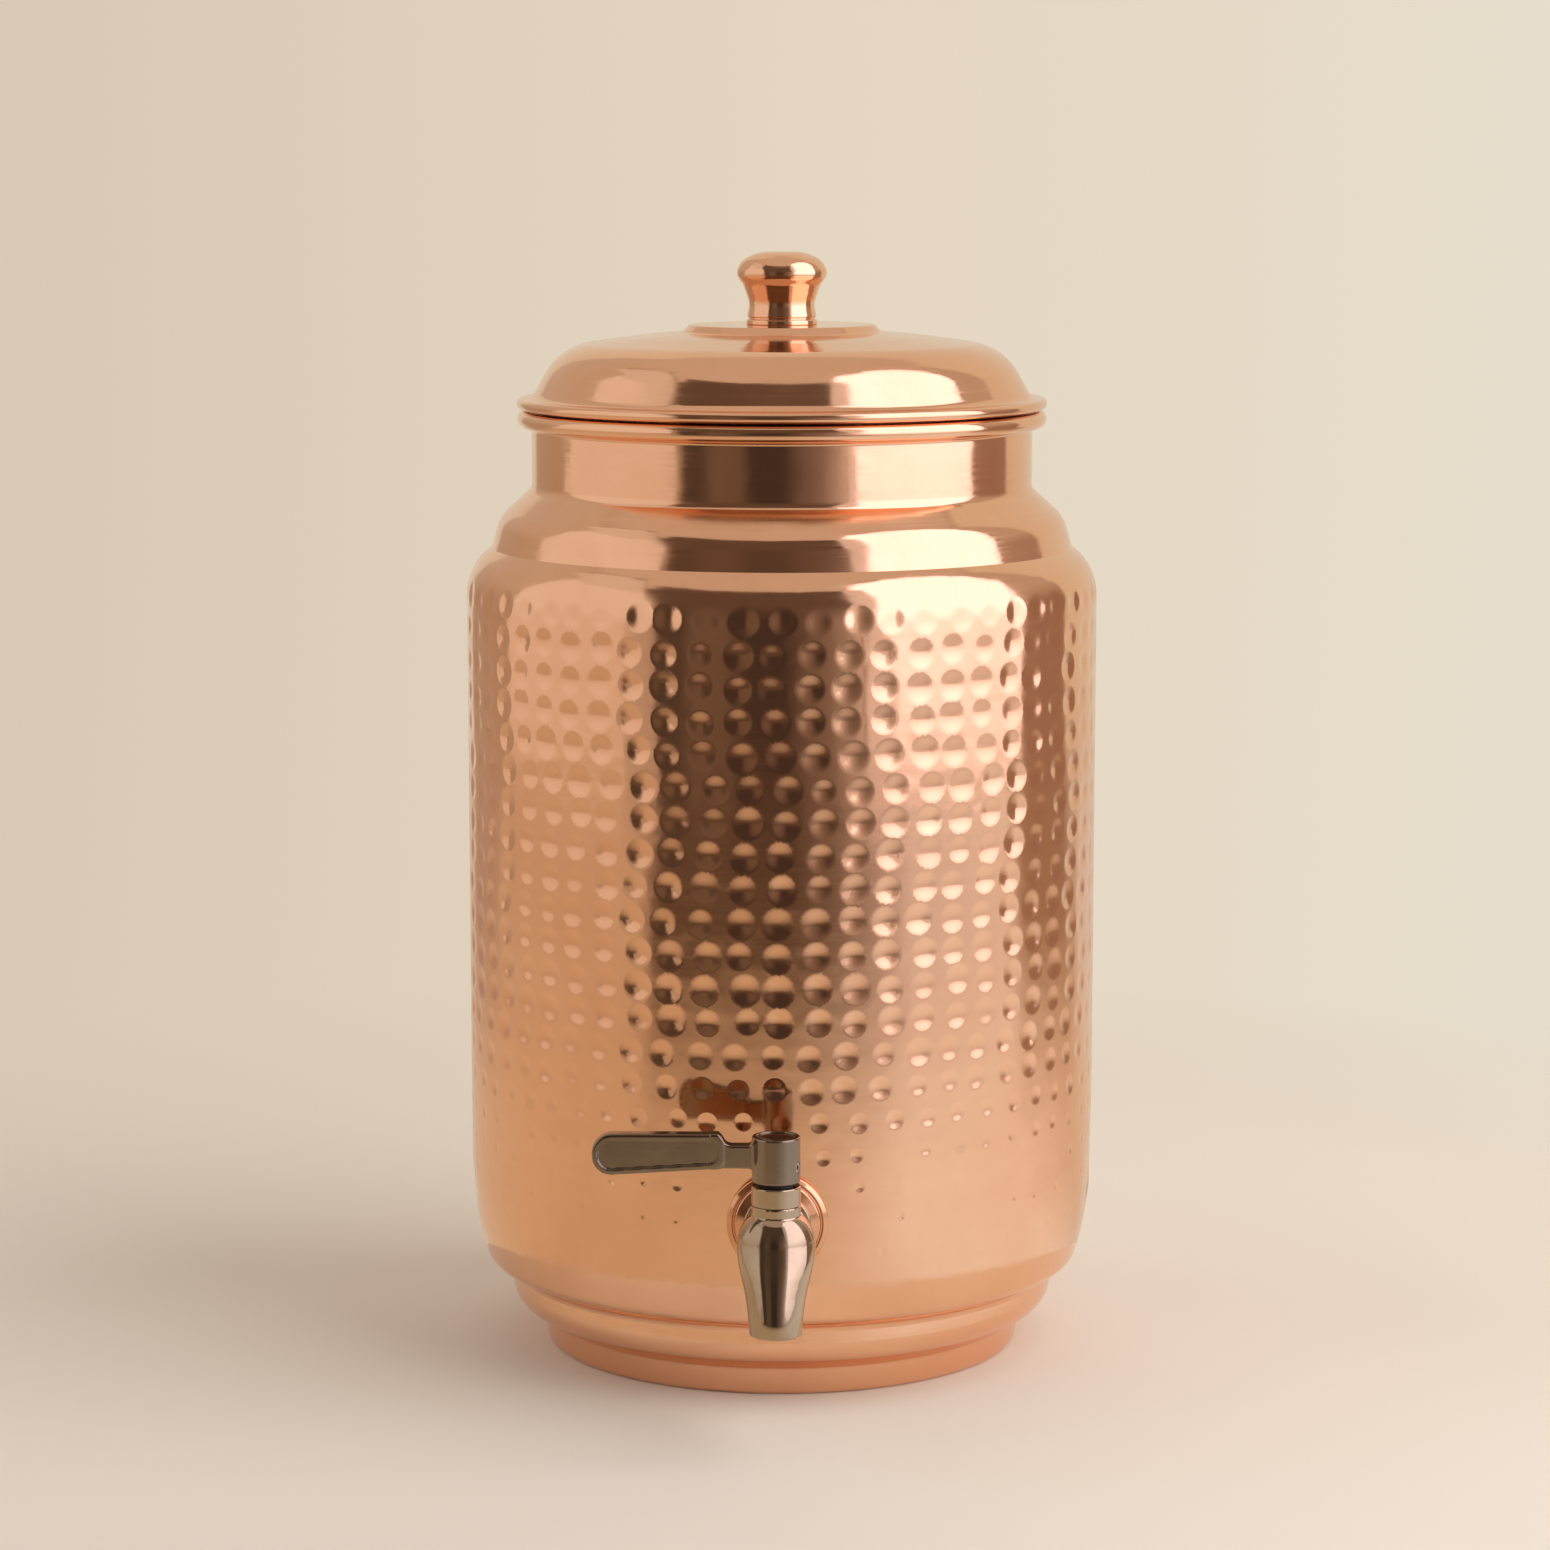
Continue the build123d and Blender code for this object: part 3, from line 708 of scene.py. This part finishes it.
def dished_cap():
    """The dished disc in the top of the hub."""
    base = low("hub_cap").z
    edge, dish, sunk = 5.9, 5.2, 0.5
    top = base + 1.2
    samples = rounded([(0, base), (edge, base), (edge, top), (dish, top)], [0.15, 0.2], turn=15.0)
    dish_radius = (dish ** 2 + sunk ** 2) / (2 * sunk)
    tilt = degrees(asin(dish / dish_radius))
    centre = (0, top - sunk + dish_radius)
    samples += arc(centre, dish_radius, -90.0 + tilt, -90.0, -1.0, 2.0)
    turned("dished_cap", "tap_lever", "hub_cap", TAP_METAL, samples, 96, AT_STEM)


# ---- Cast pieces, from a distance field ----
def cast(field, lowest, highest, step):
    """Vertices, quads and corner normals of the surface where the field is zero. Inside is below zero."""
    axes = [np.arange(a, b + step, step) for a, b in zip(lowest, highest)]
    grid = np.stack(np.meshgrid(*axes, indexing="ij"), -1)
    value = field(grid)
    cells = tuple(n - 1 for n in value.shape)
    total = np.zeros(cells + (3,))
    count = np.zeros(cells)
    crossings = []
    for axis in range(3):
        behind = range(cells[axis])
        a, b = value.take(behind, axis), value.take(range(1, cells[axis] + 1), axis)
        crossed = (a < 0) != (b < 0)
        share = np.where(crossed, a / np.where(crossed, a - b, 1), 0)
        spot = grid.take(behind, axis)
        spot[..., axis] += share * step
        others = [k for k in range(3) if k != axis]
        for p in (0, 1):
            for q in (0, 1):
                part = [slice(None)] * 3
                part[others[0]] = slice(p, p + cells[others[0]])
                part[others[1]] = slice(q, q + cells[others[1]])
                part = tuple(part)
                total += np.where(crossed[part][..., None], spot[part], 0)
                count += crossed[part]
        crossings.append((crossed, a < 0, others))
    used = count > 0
    number = np.full(cells, -1)
    number[used] = np.arange(used.sum())
    verts = total[used] / count[used][:, None]
    faces = []
    for axis, (crossed, from_inside, others) in enumerate(crossings):
        i = np.argwhere(crossed)
        inner = np.all([(i[:, k] > 0) & (i[:, k] < cells[k]) for k in others], axis=0)
        i = i[inner]
        flip = from_inside[tuple(i.T)]
        steps = np.zeros((4, 3), int)
        steps[:, others[0]] = [-1, 0, 0, -1]
        steps[:, others[1]] = [-1, -1, 0, 0]
        quad = np.stack([number[tuple((i + s).T)] for s in steps], 1)
        if axis == 1:
            flip = ~flip
        quad = np.where(flip[:, None], quad, quad[:, ::-1])
        faces.append(quad)
    for _ in range(4):
        slope = field_slope(field, verts)
        reach = field(verts)[:, None] * slope / np.maximum((slope ** 2).sum(1), 0.05)[:, None]
        verts = verts - np.clip(reach, -step, step)
    slope = field_slope(field, verts)
    normals = slope / np.linalg.norm(slope, axis=1)[:, None]
    faces = np.concatenate(faces)
    return verts, faces.tolist(), normals[faces.ravel()]


def field_slope(field, places, reach=0.02):
    """The field's slope at each place."""
    slope = np.zeros_like(places)
    for axis in range(3):
        move = np.zeros(3)
        move[axis] = reach
        slope[:, axis] = (field(places + move) - field(places - move)) / (2 * reach)
    return slope


def joined(a, b, blend):
    """Both shapes, with a fillet of about this size between them."""
    share = np.clip(0.5 + 0.5 * (b - a) / blend, 0, 1)
    return b * (1 - share) + a * share - blend * share * (1 - share)


def cut(a, b, blend):
    """Shape a without shape b, with its edges eased."""
    return -joined(-a, b, blend)


def both(a, b, blend):
    """What a and b share, with its edges eased."""
    return -joined(-a, -b, blend)


def pole(p, q, radius, start, end, blend):
    """A round bar: p is the distance from its axis, and q the place along it."""
    return both(p - radius, np.maximum(start - q, q - end), blend)


def bored(solid, p, q, radius, start, end, blend):
    """A shape with a round hole in it, from start to end along q."""
    return cut(solid, np.maximum(p - radius, np.maximum(start - q, q - end)), blend)


# The tap's round parts: radius, then where each starts and ends out from the barrel.
SHANK = 8.0, -20.0, 9.0
COLLAR = 10.2, 4.6, 7.6
ARM_ENDS = 5.0, 31.0
INLET = 5.0, -30.0, 21.5
SEAT = 5.45, 21.4, 28.0
# Its upright holes: radius, then where each starts and ends in height.
PLUG_ROOM = 6.05, 54.0, 100.0
GLAND_ROOM = 6.55, 71.1, 100.0
CHAMBER_RADIUS = 11.65
CHAMBER_Z = 61.7
NECK_RADIUS = 7.3  # the casting's short neck under the gland nut
OUTLET_Z = 37.2
OUTLET_LEAN = 10.5  # how far out the outlet is from the stem's axis
LEAN_Z = CHAMBER_Z + 1.5  # where the spout starts to lean out
WATERWAY_TOP_Z = 56.0
WATERWAY_Z = 54.4  # where the waterway starts to widen downwards
WATERWAY_RADIUS = 4.6
WATERWAY_FLARE = 1.6  # how much wider it is at the outlet
DOME = [radians(angle) for angle in (0, 10, 20, 30, 40, 50)]
TAP_HEIGHTS = [30.0, 34.0, OUTLET_Z, 41.5, 45.3, 48.6, 52.0, 55.4, 58.5]
TAP_HEIGHTS += [CHAMBER_Z + CHAMBER_RADIUS * sin(angle) for angle in DOME]
TAP_RADII = [7.45, 7.5, 7.7, 8.05, 8.5, 9.1, 9.95, 10.85, 11.45]
TAP_RADII += [CHAMBER_RADIUS * cos(angle) for angle in DOME]


def smooth_table(places, values, step=0.05):
    """A close table of a smooth curve through these values."""
    places, values = np.array(places), np.array(values)
    slope = np.gradient(values, places)
    fine = np.arange(places[0], places[-1], step)
    k = np.clip(np.searchsorted(places, fine, side="right") - 1, 0, len(places) - 2)
    span = places[k + 1] - places[k]
    t = (fine - places[k]) / span
    curve = (2 * t ** 3 - 3 * t ** 2 + 1) * values[k] + (t ** 3 - 2 * t ** 2 + t) * span * slope[k]
    curve += (3 * t ** 2 - 2 * t ** 3) * values[k + 1] + (t ** 3 - t ** 2) * span * slope[k + 1]
    return fine, curve


TAP_TABLE = smooth_table(TAP_HEIGHTS, TAP_RADII)


def tap_casting_field(g):
    """The tap's casting: shank, collar, arm, and one smooth teardrop from the boss down to the outlet."""
    x, y, z = g[..., 0], g[..., 1], g[..., 2]
    out = -BARREL_RADIUS - y
    from_shank = np.hypot(x, z - TAP_Z)
    from_stem = np.hypot(x, y - STEM_Y)
    shank = pole(from_shank, out, *SHANK, 0.5)
    collar = pole(from_shank, out, *COLLAR, 0.7)
    arm_radius = 8.2 + 1.2 * np.clip((out - 6.0) / 24.0, 0, 1)
    arm = pole(from_shank, out, arm_radius, *ARM_ENDS, 1.0)
    fall = np.clip((LEAN_Z - z) / (LEAN_Z - OUTLET_Z), 0, 1)
    lean = OUTLET_LEAN * np.sin(fall * pi / 2) ** 1.3
    from_spout = np.hypot(x, y - STEM_Y + lean)
    drop = from_spout - np.interp(z, *TAP_TABLE)
    drop = both(drop, np.maximum(z - TAP_HEIGHTS[-1], OUTLET_Z - z), 0.5)
    neck = np.maximum(from_stem - NECK_RADIUS, CHAMBER_Z - z)
    solid = joined(joined(drop, neck, 0.4), arm, 2.6)
    solid = np.minimum(joined(solid, collar, 0.8), shank)
    solid = both(solid, z - GLAND_Z, 0.3)
    wider = WATERWAY_FLARE * np.clip((WATERWAY_Z - z) / (WATERWAY_Z - OUTLET_Z), 0, 1.2)
    waterway = from_spout - (WATERWAY_RADIUS + wider)
    solid = cut(solid, np.maximum(waterway, z - WATERWAY_TOP_Z), 0.4)
    solid = bored(solid, from_stem, z, *PLUG_ROOM, 0.1)
    solid = bored(solid, from_stem, z, *GLAND_ROOM, 0.1)
    solid = bored(solid, from_shank, out, *INLET, 0.3)
    return bored(solid, from_shank, out, *SEAT, 0.1)


GRIP_NEAR = -15.5
GRIP_FAR = -54.2
GRIP_TOP_Z = 95.3
GRIP_LOW_Z = 82.6  # its underside at the far end
GRIP_RISE = 2.3  # how much higher the underside is at the near end
GRIP_HALF = 2.5  # half its thickness
PANEL_HALF = 2.0  # and half of that at the sunk panel
PANEL_INSET = 1.7
FAR_CORNER, NEAR_CORNER = 6.0, 2.4
# The lever's round parts: radius, then where each starts and ends.
HUB = 7.15, HUB_Z, 94.4
STEM_HOLE = 3.93, 0.0, 200.0
CAP_ROOM = 6.0, 92.7, 200.0
GRUB_HOLE = 1.55, 2.0, 100.0
GRUB_Z = 85.5
GRUB_BEARING = radians(68.0)
PIN_CIRCLE = 5.9
SLOT_HALF = 0.95  # half the width of the stop pin's slot
SLOT_DEPTH = 1.2
SLOT_ROOM = radians(10.0)


def grip_distance(x, z, inset):
    """Signed distance-like value of the grip's outline seen from the front, drawn in by inset."""
    near, far = GRIP_NEAR - inset, GRIP_FAR + inset
    top = GRIP_TOP_Z - inset
    share = (x - GRIP_FAR) / (GRIP_NEAR - GRIP_FAR)
    bottom = GRIP_LOW_Z + GRIP_RISE * share + inset
    middle = (top + bottom) / 2
    half_tall = (top - bottom) / 2
    half_long = (near - far) / 2
    corner = np.where(x < (near + far) / 2, FAR_CORNER - inset, NEAR_CORNER)
    across = np.abs(x - (near + far) / 2) - half_long + corner
    up = np.abs(z - middle) - half_tall + corner
    outside = np.hypot(np.maximum(across, 0), np.maximum(up, 0))
    return outside + np.minimum(np.maximum(across, up), 0) - corner


def lever_field(g):
    """The lever: hub, slim neck, and a grip with a ridge round a sunk panel on each side."""
    x, y, z = g[..., 0], g[..., 1] - STEM_Y, g[..., 2]
    from_stem = np.hypot(x, y)
    hub = pole(from_stem, z, *HUB, 0.5)
    dip = 91.9 + 3.2 * np.clip((-x - 13.0) / 4.0, 0, 1) ** 2
    sides = np.maximum(np.abs(y) - 2.4, np.maximum(x + 3.0, -19.0 - x))
    arm = both(sides, np.maximum(85.0 - z, z - dip), 0.6)
    grip = both(grip_distance(x, z, 0.0), np.abs(y) - GRIP_HALF, 0.9)
    sunk = both(grip_distance(x, z, PANEL_INSET), PANEL_HALF - np.abs(y), 0.25)
    solid = joined(hub, joined(grip, arm, 0.9), 1.7)
    solid = cut(solid, sunk, 0.3)
    solid = bored(solid, from_stem, z, *STEM_HOLE, 0.05)
    solid = bored(solid, from_stem, z, *CAP_ROOM, 0.25)
    way_x, way_y = sin(GRUB_BEARING), -cos(GRUB_BEARING)
    along = x * way_x + y * way_y
    from_grub = np.hypot(x * way_y - y * way_x, z - GRUB_Z)
    solid = bored(solid, from_grub, along, *GRUB_HOLE, 0.15)
    angle = np.arctan2(y, x)
    groove = np.maximum(np.abs(from_stem - PIN_CIRCLE) - SLOT_HALF, z - HUB_Z - SLOT_DEPTH)
    sector = np.maximum(angle - pi / 2 - SLOT_ROOM, -SLOT_ROOM - angle) * PIN_CIRCLE
    return cut(solid, np.maximum(groove, sector), 0.1)


def cast_tap():
    """The tap's body as one smooth casting."""
    lowest = (-12.6, STEM_Y - 20.0, 33.3)
    highest = (12.6, -BARREL_RADIUS + 21.0, GLAND_Z + 1.0)
    verts, faces, normals = cast(tap_casting_field, lowest, highest, 0.5)
    build("cast_tap", "vessel", "tap_body", TAP_METAL, verts, faces, normals)


def cast_lever():
    """The lever as one casting."""
    lowest = (-55.2, STEM_Y - 8.0, HUB_Z - 0.8)
    highest = (8.0, STEM_Y + 8.0, 96.2)
    verts, faces, normals = cast(lever_field, lowest, highest, 0.34)
    build("cast_lever", "tap_lever", "lever", LEVER_METAL, verts, faces, normals)


# ---- CAD nodes that keep their own shape ----
KEPT_NODES = [
    (PLAIN_STEEL, ["rim_wire", "knob_screw", "knob_washer", "shank_washer", "shank_nut", "stop_pin"]),
    (PLAIN_STEEL, ["grub_screw"]), (VALVE_BRASS, ["valve_plug"]),
    (RUBBER, ["gasket_outer", "gasket_inner", "plug_orings", "hub_washer"]),
    (PLASTIC, ["thrust_washer", "port_seal"]), (COPPER_UP, ["lid_skirt"]),
]


def finish_kept_nodes():
    """Gives each CAD node that is shown its procedural finish."""
    for material, names in KEPT_NODES:
        for name in names:
            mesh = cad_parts[name].data
            mesh.materials.clear()
            mesh.materials.append(material)


# ---- Stage: floor, backdrop, light patches and camera ----
DOME_CENTRE = Vector((0, 0, 0.25))
REAL_TABLE = 0.15  # radius of the table's middle, which the copper mirrors as it is
NEAR_TABLE = 0.62  # radius of the table as the camera sees it lit
FAR_TABLE = 2.2
FLOOR_PAPER = (0.845, 0.79, 0.725)
WORLD_TONE = (0.110, 0.080, 0.060)
# Painted shade: the tone of the studio's dark front higher up, a dim glow seen only in reflections.
FRONT_TOP = (0.125, 0.085, 0.062)
# Painted light on the backdrop and the far floor: the room's tone on the left, in the middle and on the
# right, lighter where the key light falls.
ROOM_LEFT = (0.694, 0.584, 0.456)
ROOM_MIDDLE = (0.783, 0.672, 0.533)
ROOM_RIGHT = (0.799, 0.730, 0.610)
# Painted light and shade of the studio's dark front at each bearing, a dim glow with a few soft bands, seen
# only in reflections.
FRONT_BEARINGS = [
    (-50, (0.10, 0.07, 0.05)), (-43, (0.07, 0.05, 0.038)), (-35, (0.085, 0.06, 0.045)),
    (-29, (0.165, 0.12, 0.085)), (-18, (0.155, 0.11, 0.08)), (-12, (0.06, 0.042, 0.034)),
    (2, (0.06, 0.042, 0.034)), (10, (0.17, 0.12, 0.095)), (18, (0.24, 0.175, 0.145)),
    (26, (0.45, 0.37, 0.33)), (32, (0.85, 0.76, 0.74)),
]
# Painted light and shade of the mirrored table at each bearing, near the vessel and further out: lit where
# the lamps fall, dark in front and in the gaps.
NEAR_BEARINGS = [
    (-180, (0.72, 0.60, 0.46)), (-150, (0.66, 0.53, 0.40)), (-90, (0.68, 0.53, 0.38)),
    (-40, (0.62, 0.47, 0.33)), (0, (0.66, 0.52, 0.38)), (40, (0.90, 0.86, 0.84)),
    (90, (0.92, 0.86, 0.82)), (120, (0.74, 0.60, 0.47)), (140, (0.74, 0.63, 0.50)),
    (180, (0.72, 0.60, 0.46)),
]
FAR_BEARINGS = [
    (-180, (0.70, 0.58, 0.44)), (-152, (0.66, 0.52, 0.38)), (-146, (0.46, 0.34, 0.27)),
    (-124, (0.48, 0.36, 0.28)), (-114, (0.60, 0.46, 0.34)), (-50, (0.60, 0.46, 0.34)),
    (-43, (0.12, 0.08, 0.055)), (5, (0.10, 0.065, 0.045)), (20, (0.20, 0.15, 0.125)),
    (34, (0.42, 0.35, 0.33)), (46, (0.70, 0.65, 0.66)), (86, (0.80, 0.75, 0.74)),
    (95, (0.36, 0.24, 0.17)), (122, (0.36, 0.24, 0.17)), (136, (0.72, 0.66, 0.60)),
    (180, (0.70, 0.58, 0.44)),
]


def lit(name, tone_of):
    """A lit surface. tone_of(tree) gives its tone, as a colour or a link."""
    return material_of(name, lambda tree: node_of(tree, "Emission", {0: tone_of(tree)}))


def glow(name, tone):
    """An evenly lit surface."""
    return lit(name, lambda tree: (*tone, 1))


def stage_mesh(name, verts, faces, material, camera=False, glossy=True, diffuse=True):
    """A piece of the stage, and which rays see it."""
    mesh = bpy.data.meshes.new(name)
    mesh.from_pydata(verts, [], faces)
    mesh.materials.append(material)
    made = bpy.data.objects.new(name, mesh)
    bpy.context.scene.collection.objects.link(made)
    made.visible_camera = camera
    made.visible_glossy = glossy
    made.visible_diffuse = diffuse
    made.visible_shadow = False
    return made


def sky_patch(name, levels, radius, material, **flags):
    """A piece of a dome: each level is a height angle and the bearings of its two ends, in degrees.
    Bearing 0 is the front, and bearings grow towards +X."""
    steps = 16
    verts = []
    for height, start, end in levels:
        h = radians(height)
        for k in range(steps + 1):
            a = radians(start + (end - start) * k / steps)
            way = Vector((sin(a) * cos(h), -cos(a) * cos(h), sin(h)))
            verts.append(tuple(DOME_CENTRE + way * radius))
    faces = []
    for level in range(len(levels) - 1):
        for k in range(steps):
            a = level * (steps + 1) + k
            faces.append((a, a + 1, a + steps + 2, a + steps + 1))
    return stage_mesh(name, verts, faces, material, **flags)


def disc(name, inner, outer, z, material, **flags):
    """A flat ring about the vessel's axis, facing up."""
    steps = 96
    verts = []
    for k in range(steps):
        a = 2 * pi * k / steps
        for r in (inner, outer):
            verts.append((r * sin(a), -r * cos(a), z))
    ahead = [(k + 1) % steps for k in range(steps)]
    faces = [(2 * k + 1, 2 * j + 1, 2 * j, 2 * k) for k, j in enumerate(ahead)]
    return stage_mesh(name, verts, faces, material, **flags)


def painted_room_light(tree):
    """The room's tone with painted light, a little darker on the left and lighter on the right as the key
    light falls, and the distance out.
    """
    _, x, y, _ = place_in(tree)
    distance = length_of(tree, node_of(tree, "CombineXYZ", {0: x, 1: y}).outputs[0])
    side = math_of(tree, "DIVIDE", x, math_of(tree, "ADD", distance, 1.4))
    tone = mixed(tree, ramp(tree, side, -0.18, 0.0), (*ROOM_LEFT, 1), (*ROOM_MIDDLE, 1))
    return mixed(tree, ramp(tree, side, 0.0, 0.18), tone, (*ROOM_RIGHT, 1)), distance


def floor_surface(tree):
    """A pale paper floor that turns further out into a glow of the room's tone, with its painted light."""
    tone, distance = painted_room_light(tree)
    share = ramp(tree, distance, 0.33, NEAR_TABLE - 0.02)
    paper = node_of(tree, "BsdfDiffuse", {"Color": (*FLOOR_PAPER, 1)})
    far = node_of(tree, "Emission", {0: tone})
    return node_of(tree, "MixShader", {0: share, 1: paper.outputs[0], 2: far.outputs[0]})


def by_bearing(tree, stops):
    """A tone that depends on the bearing about the vessel's axis, then the place and its height.
    Stops are pairs of degrees and tone."""
    place, x, y, z = place_in(tree)
    bearing = math_of(tree, "ARCTAN2", x, math_of(tree, "MULTIPLY", y, -1.0))
    share = ramp(tree, bearing, -pi, pi)
    table = node_of(tree, "ValToRGB", {0: share})
    elements = table.color_ramp.elements
    while len(elements) < len(stops):
        elements.new(0.5)
    for element, (stop, tone) in zip(elements, stops):
        element.position = (stop + 180) / 360
        element.color = (*tone, 1)
    return table.outputs[0], place, z


def mirrored_table_tone(tree):
    """Painted light and shade: the table as the copper mirrors it, a glow seen only in reflections, pale
    near the vessel, lit at the sides and dark in front.
    """
    near, place, _ = by_bearing(tree, NEAR_BEARINGS)
    far, _, _ = by_bearing(tree, FAR_BEARINGS)
    return mixed(tree, ramp(tree, length_of(tree, place), 0.40, 0.88), near, far)


def front_tone(tree):
    """Painted shade: the dark side of the studio as a dim glow seen only in reflections, with its few soft
    upright bands, evener higher up.
    """
    bands, _, height = by_bearing(tree, FRONT_BEARINGS)
    return mixed(tree, ramp(tree, height, 0.30, 1.0), bands, (*FRONT_TOP, 1))


def rising_glow(name, low_tone, high_tone, low_z, high_z):
    """A lit surface whose tone changes with height."""
    def tone(tree):
        share = ramp(tree, place_in(tree)[3], low_z, high_z)
        return mixed(tree, share, (*low_tone, 1), (*high_tone, 1))
    return lit(name, tone)


def grown(levels, bearing, height):
    """The levels of a patch made larger all round."""
    out = [(h, a - bearing, b + bearing) for h, a, b in levels]
    last = out[-1]
    return out + [(last[0] + height, last[1] + 2 * bearing, last[2] - 2 * bearing)]


# Each patch of the dome: height angles, with the bearings of the patch's two ends there.
KEY_LEVELS = [
    (-10, 31, 94), (15, 32, 95), (30, 32, 100), (40, 32, 105), (50, 33, 109), (57, 35, 109),
    (62, 39, 104), (66, 46, 96), (68, 55, 86),
]
KEY_EDGE_LEVELS = [
    (-12, 29.5, 43), (-7.5, 30, 39), (-4, 29.5, 33), (15, 28.5, 34), (40, 27, 39), (57, 31, 42),
]
FILL_LEVELS = [(-10, -114, -46), (11, -114, -46), (26, -119, -48), (34, -121, -52), (42, -121, -58)]
FILL_TOP_LEVELS = [(42, -121, -58), (48, -119, -64), (53, -114, -71), (57, -106, -79), (59, -97, -88)]
FILL_EDGE_LEVELS = [(-12, -57, -42), (-7, -54, -43), (-4, -50, -45)]
FRONT_LEVELS = [(-12, -50, 34), (16, -50, 34), (40, -54, 35), (57, -66, 36)]
RIGHT_GAP_LEVELS = [(-12, 92, 124), (20, 94, 124), (53, 100, 126)]
LEFT_GAP_LEVELS = [(-12, -150, -110), (53, -150, -104)]
REAR_LEVELS = [(-12, 122, 212), (53, 122, 212)]
CEILING_LEVELS = [(h, -180, 180) for h in (50, 60, 70, 80, 90)]
SWEEP_LEVELS = [(h, -180, 180) for h in (-6, 15, 45, 75)]
# How far out each layer of the dome is, in metres.
EDGES, LIGHTS, FRAMES, GAPS, REAR, CEILING, ROOM = 1.27, 1.30, 1.34, 1.40, 1.42, 1.50, 6.0
SHINE = {"diffuse": False}  # only mirrored
SOFT = {"glossy": False}  # only lights
SEEN = {"camera": True, "glossy": False, "diffuse": False}  # only seen


def make_room():
    """The table, the paper sweep behind it, and the tone of everything else around."""
    floor = material_of("floor_paper", floor_surface)
    table = disc("table", 0.0001, REAL_TABLE, 0.0, floor, camera=True)
    table.visible_shadow = True
    disc("table_around", REAL_TABLE, NEAR_TABLE, 0.0, floor, camera=True, glossy=False)
    # Painted light: the surround and the backdrop glow with the room's tone, darker on the left and lighter
    # on the right.
    room = lit("painted_room_light", lambda tree: painted_room_light(tree)[0])
    disc("surround", NEAR_TABLE, ROOM, 0.0, room, **SEEN)
    sky_patch("backdrop", SWEEP_LEVELS, ROOM, room, **SEEN)
    # Painted reflection: a glowing disc under the table, seen only in reflections, with the lit table's
    # light and shade in its tone.
    mirrored = lit("mirrored_table", mirrored_table_tone)
    disc("mirrored_table", REAL_TABLE, FAR_TABLE, -0.0005, mirrored, **SHINE)
    world = bpy.data.worlds.new("room")
    world.use_nodes = True
    back = world.node_tree.nodes["Background"]
    back.inputs["Color"].default_value = (*WORLD_TONE, 1)
    bpy.context.scene.world = world


def make_lights():
    """The key light on the right, the fill on the left, and what the copper mirrors between them."""
    key = rising_glow("key_shine", (1.35, 1.22, 1.32), (2.05, 1.86, 2.15), 0.02, 0.36)
    sky_patch("key_shine", KEY_LEVELS, LIGHTS, key, **SHINE)
    sky_patch("key_light", KEY_LEVELS, LIGHTS, glow("key_light", (2.66, 2.57, 2.46)), **SOFT)
    whole_fill = FILL_LEVELS + FILL_TOP_LEVELS[1:]
    fill = rising_glow("fill_shine", (0.74, 0.61, 0.51), (0.83, 0.75, 0.70), 0.02, 0.36)
    sky_patch("fill_shine", FILL_LEVELS, LIGHTS, fill, **SHINE)
    sky_patch("fill_top", FILL_TOP_LEVELS, LIGHTS, glow("fill_top", (0.72, 0.64, 0.58)), **SHINE)
    sky_patch("fill_light", whole_fill, LIGHTS, glow("fill_light", (1.22, 1.15, 1.07)), **SOFT)
    # Painted light and shade, seen only in reflections: the lamps' edges and frames, the studio's dark
    # front and the gaps are glowing patches that are no lamps.
    sky_patch("key_edge", KEY_EDGE_LEVELS, EDGES, glow("key_edge", (0.80, 0.71, 0.72)), **SHINE)
    sky_patch("fill_edge", FILL_EDGE_LEVELS, EDGES, glow("fill_edge", (0.50, 0.40, 0.33)), **SHINE)
    frame_tone = glow("frame_edge", (0.34, 0.25, 0.19))
    sky_patch("key_frame", grown(KEY_LEVELS, 2.5, 2.0), FRAMES, frame_tone, **SHINE)
    sky_patch("fill_frame", grown(whole_fill, 2.5, 2.0), FRAMES, frame_tone, **SHINE)
    sky_patch("front_dark", FRONT_LEVELS, GAPS, lit("front_dark", front_tone), **SHINE)
    right_gap = rising_glow("right_gap", (0.34, 0.22, 0.165), (0.54, 0.44, 0.36), 0.35, 0.80)
    sky_patch("right_gap", RIGHT_GAP_LEVELS, GAPS, right_gap, **SHINE)
    left_gap = rising_glow("left_gap", (0.46, 0.35, 0.26), (0.58, 0.49, 0.40), 0.20, 0.60)
    sky_patch("left_gap", LEFT_GAP_LEVELS, GAPS, left_gap, **SHINE)
    sky_patch("rear_wall", REAR_LEVELS, REAR, glow("rear_wall", (0.73, 0.64, 0.51)))
    sky_patch("ceiling", CEILING_LEVELS, CEILING, glow("ceiling", (0.62, 0.52, 0.44)))


def make_camera():
    """The photograph's viewpoint: a long lens, a little above the lid, and nearly straight on."""
    data = bpy.data.cameras.new("camera")
    data.lens = 101.5
    data.sensor_width = 36.0
    camera = bpy.data.objects.new("camera", data)
    camera.location = (0.0172, -1.3859, 0.383)
    camera.rotation_euler = (radians(81.78), 0, radians(0.8))
    bpy.context.scene.collection.objects.link(camera)
    bpy.context.scene.camera = camera
    bpy.context.scene.view_settings.view_transform = "Standard"


hammered_barrel()
spun_neck()
spun_foot()
spun_lid()
turned_knob()
pressed_flange()
bonnet_nut()
dished_cap()
cast_tap()
cast_lever()
finish_kept_nodes()
make_room()
make_lights()
make_camera()
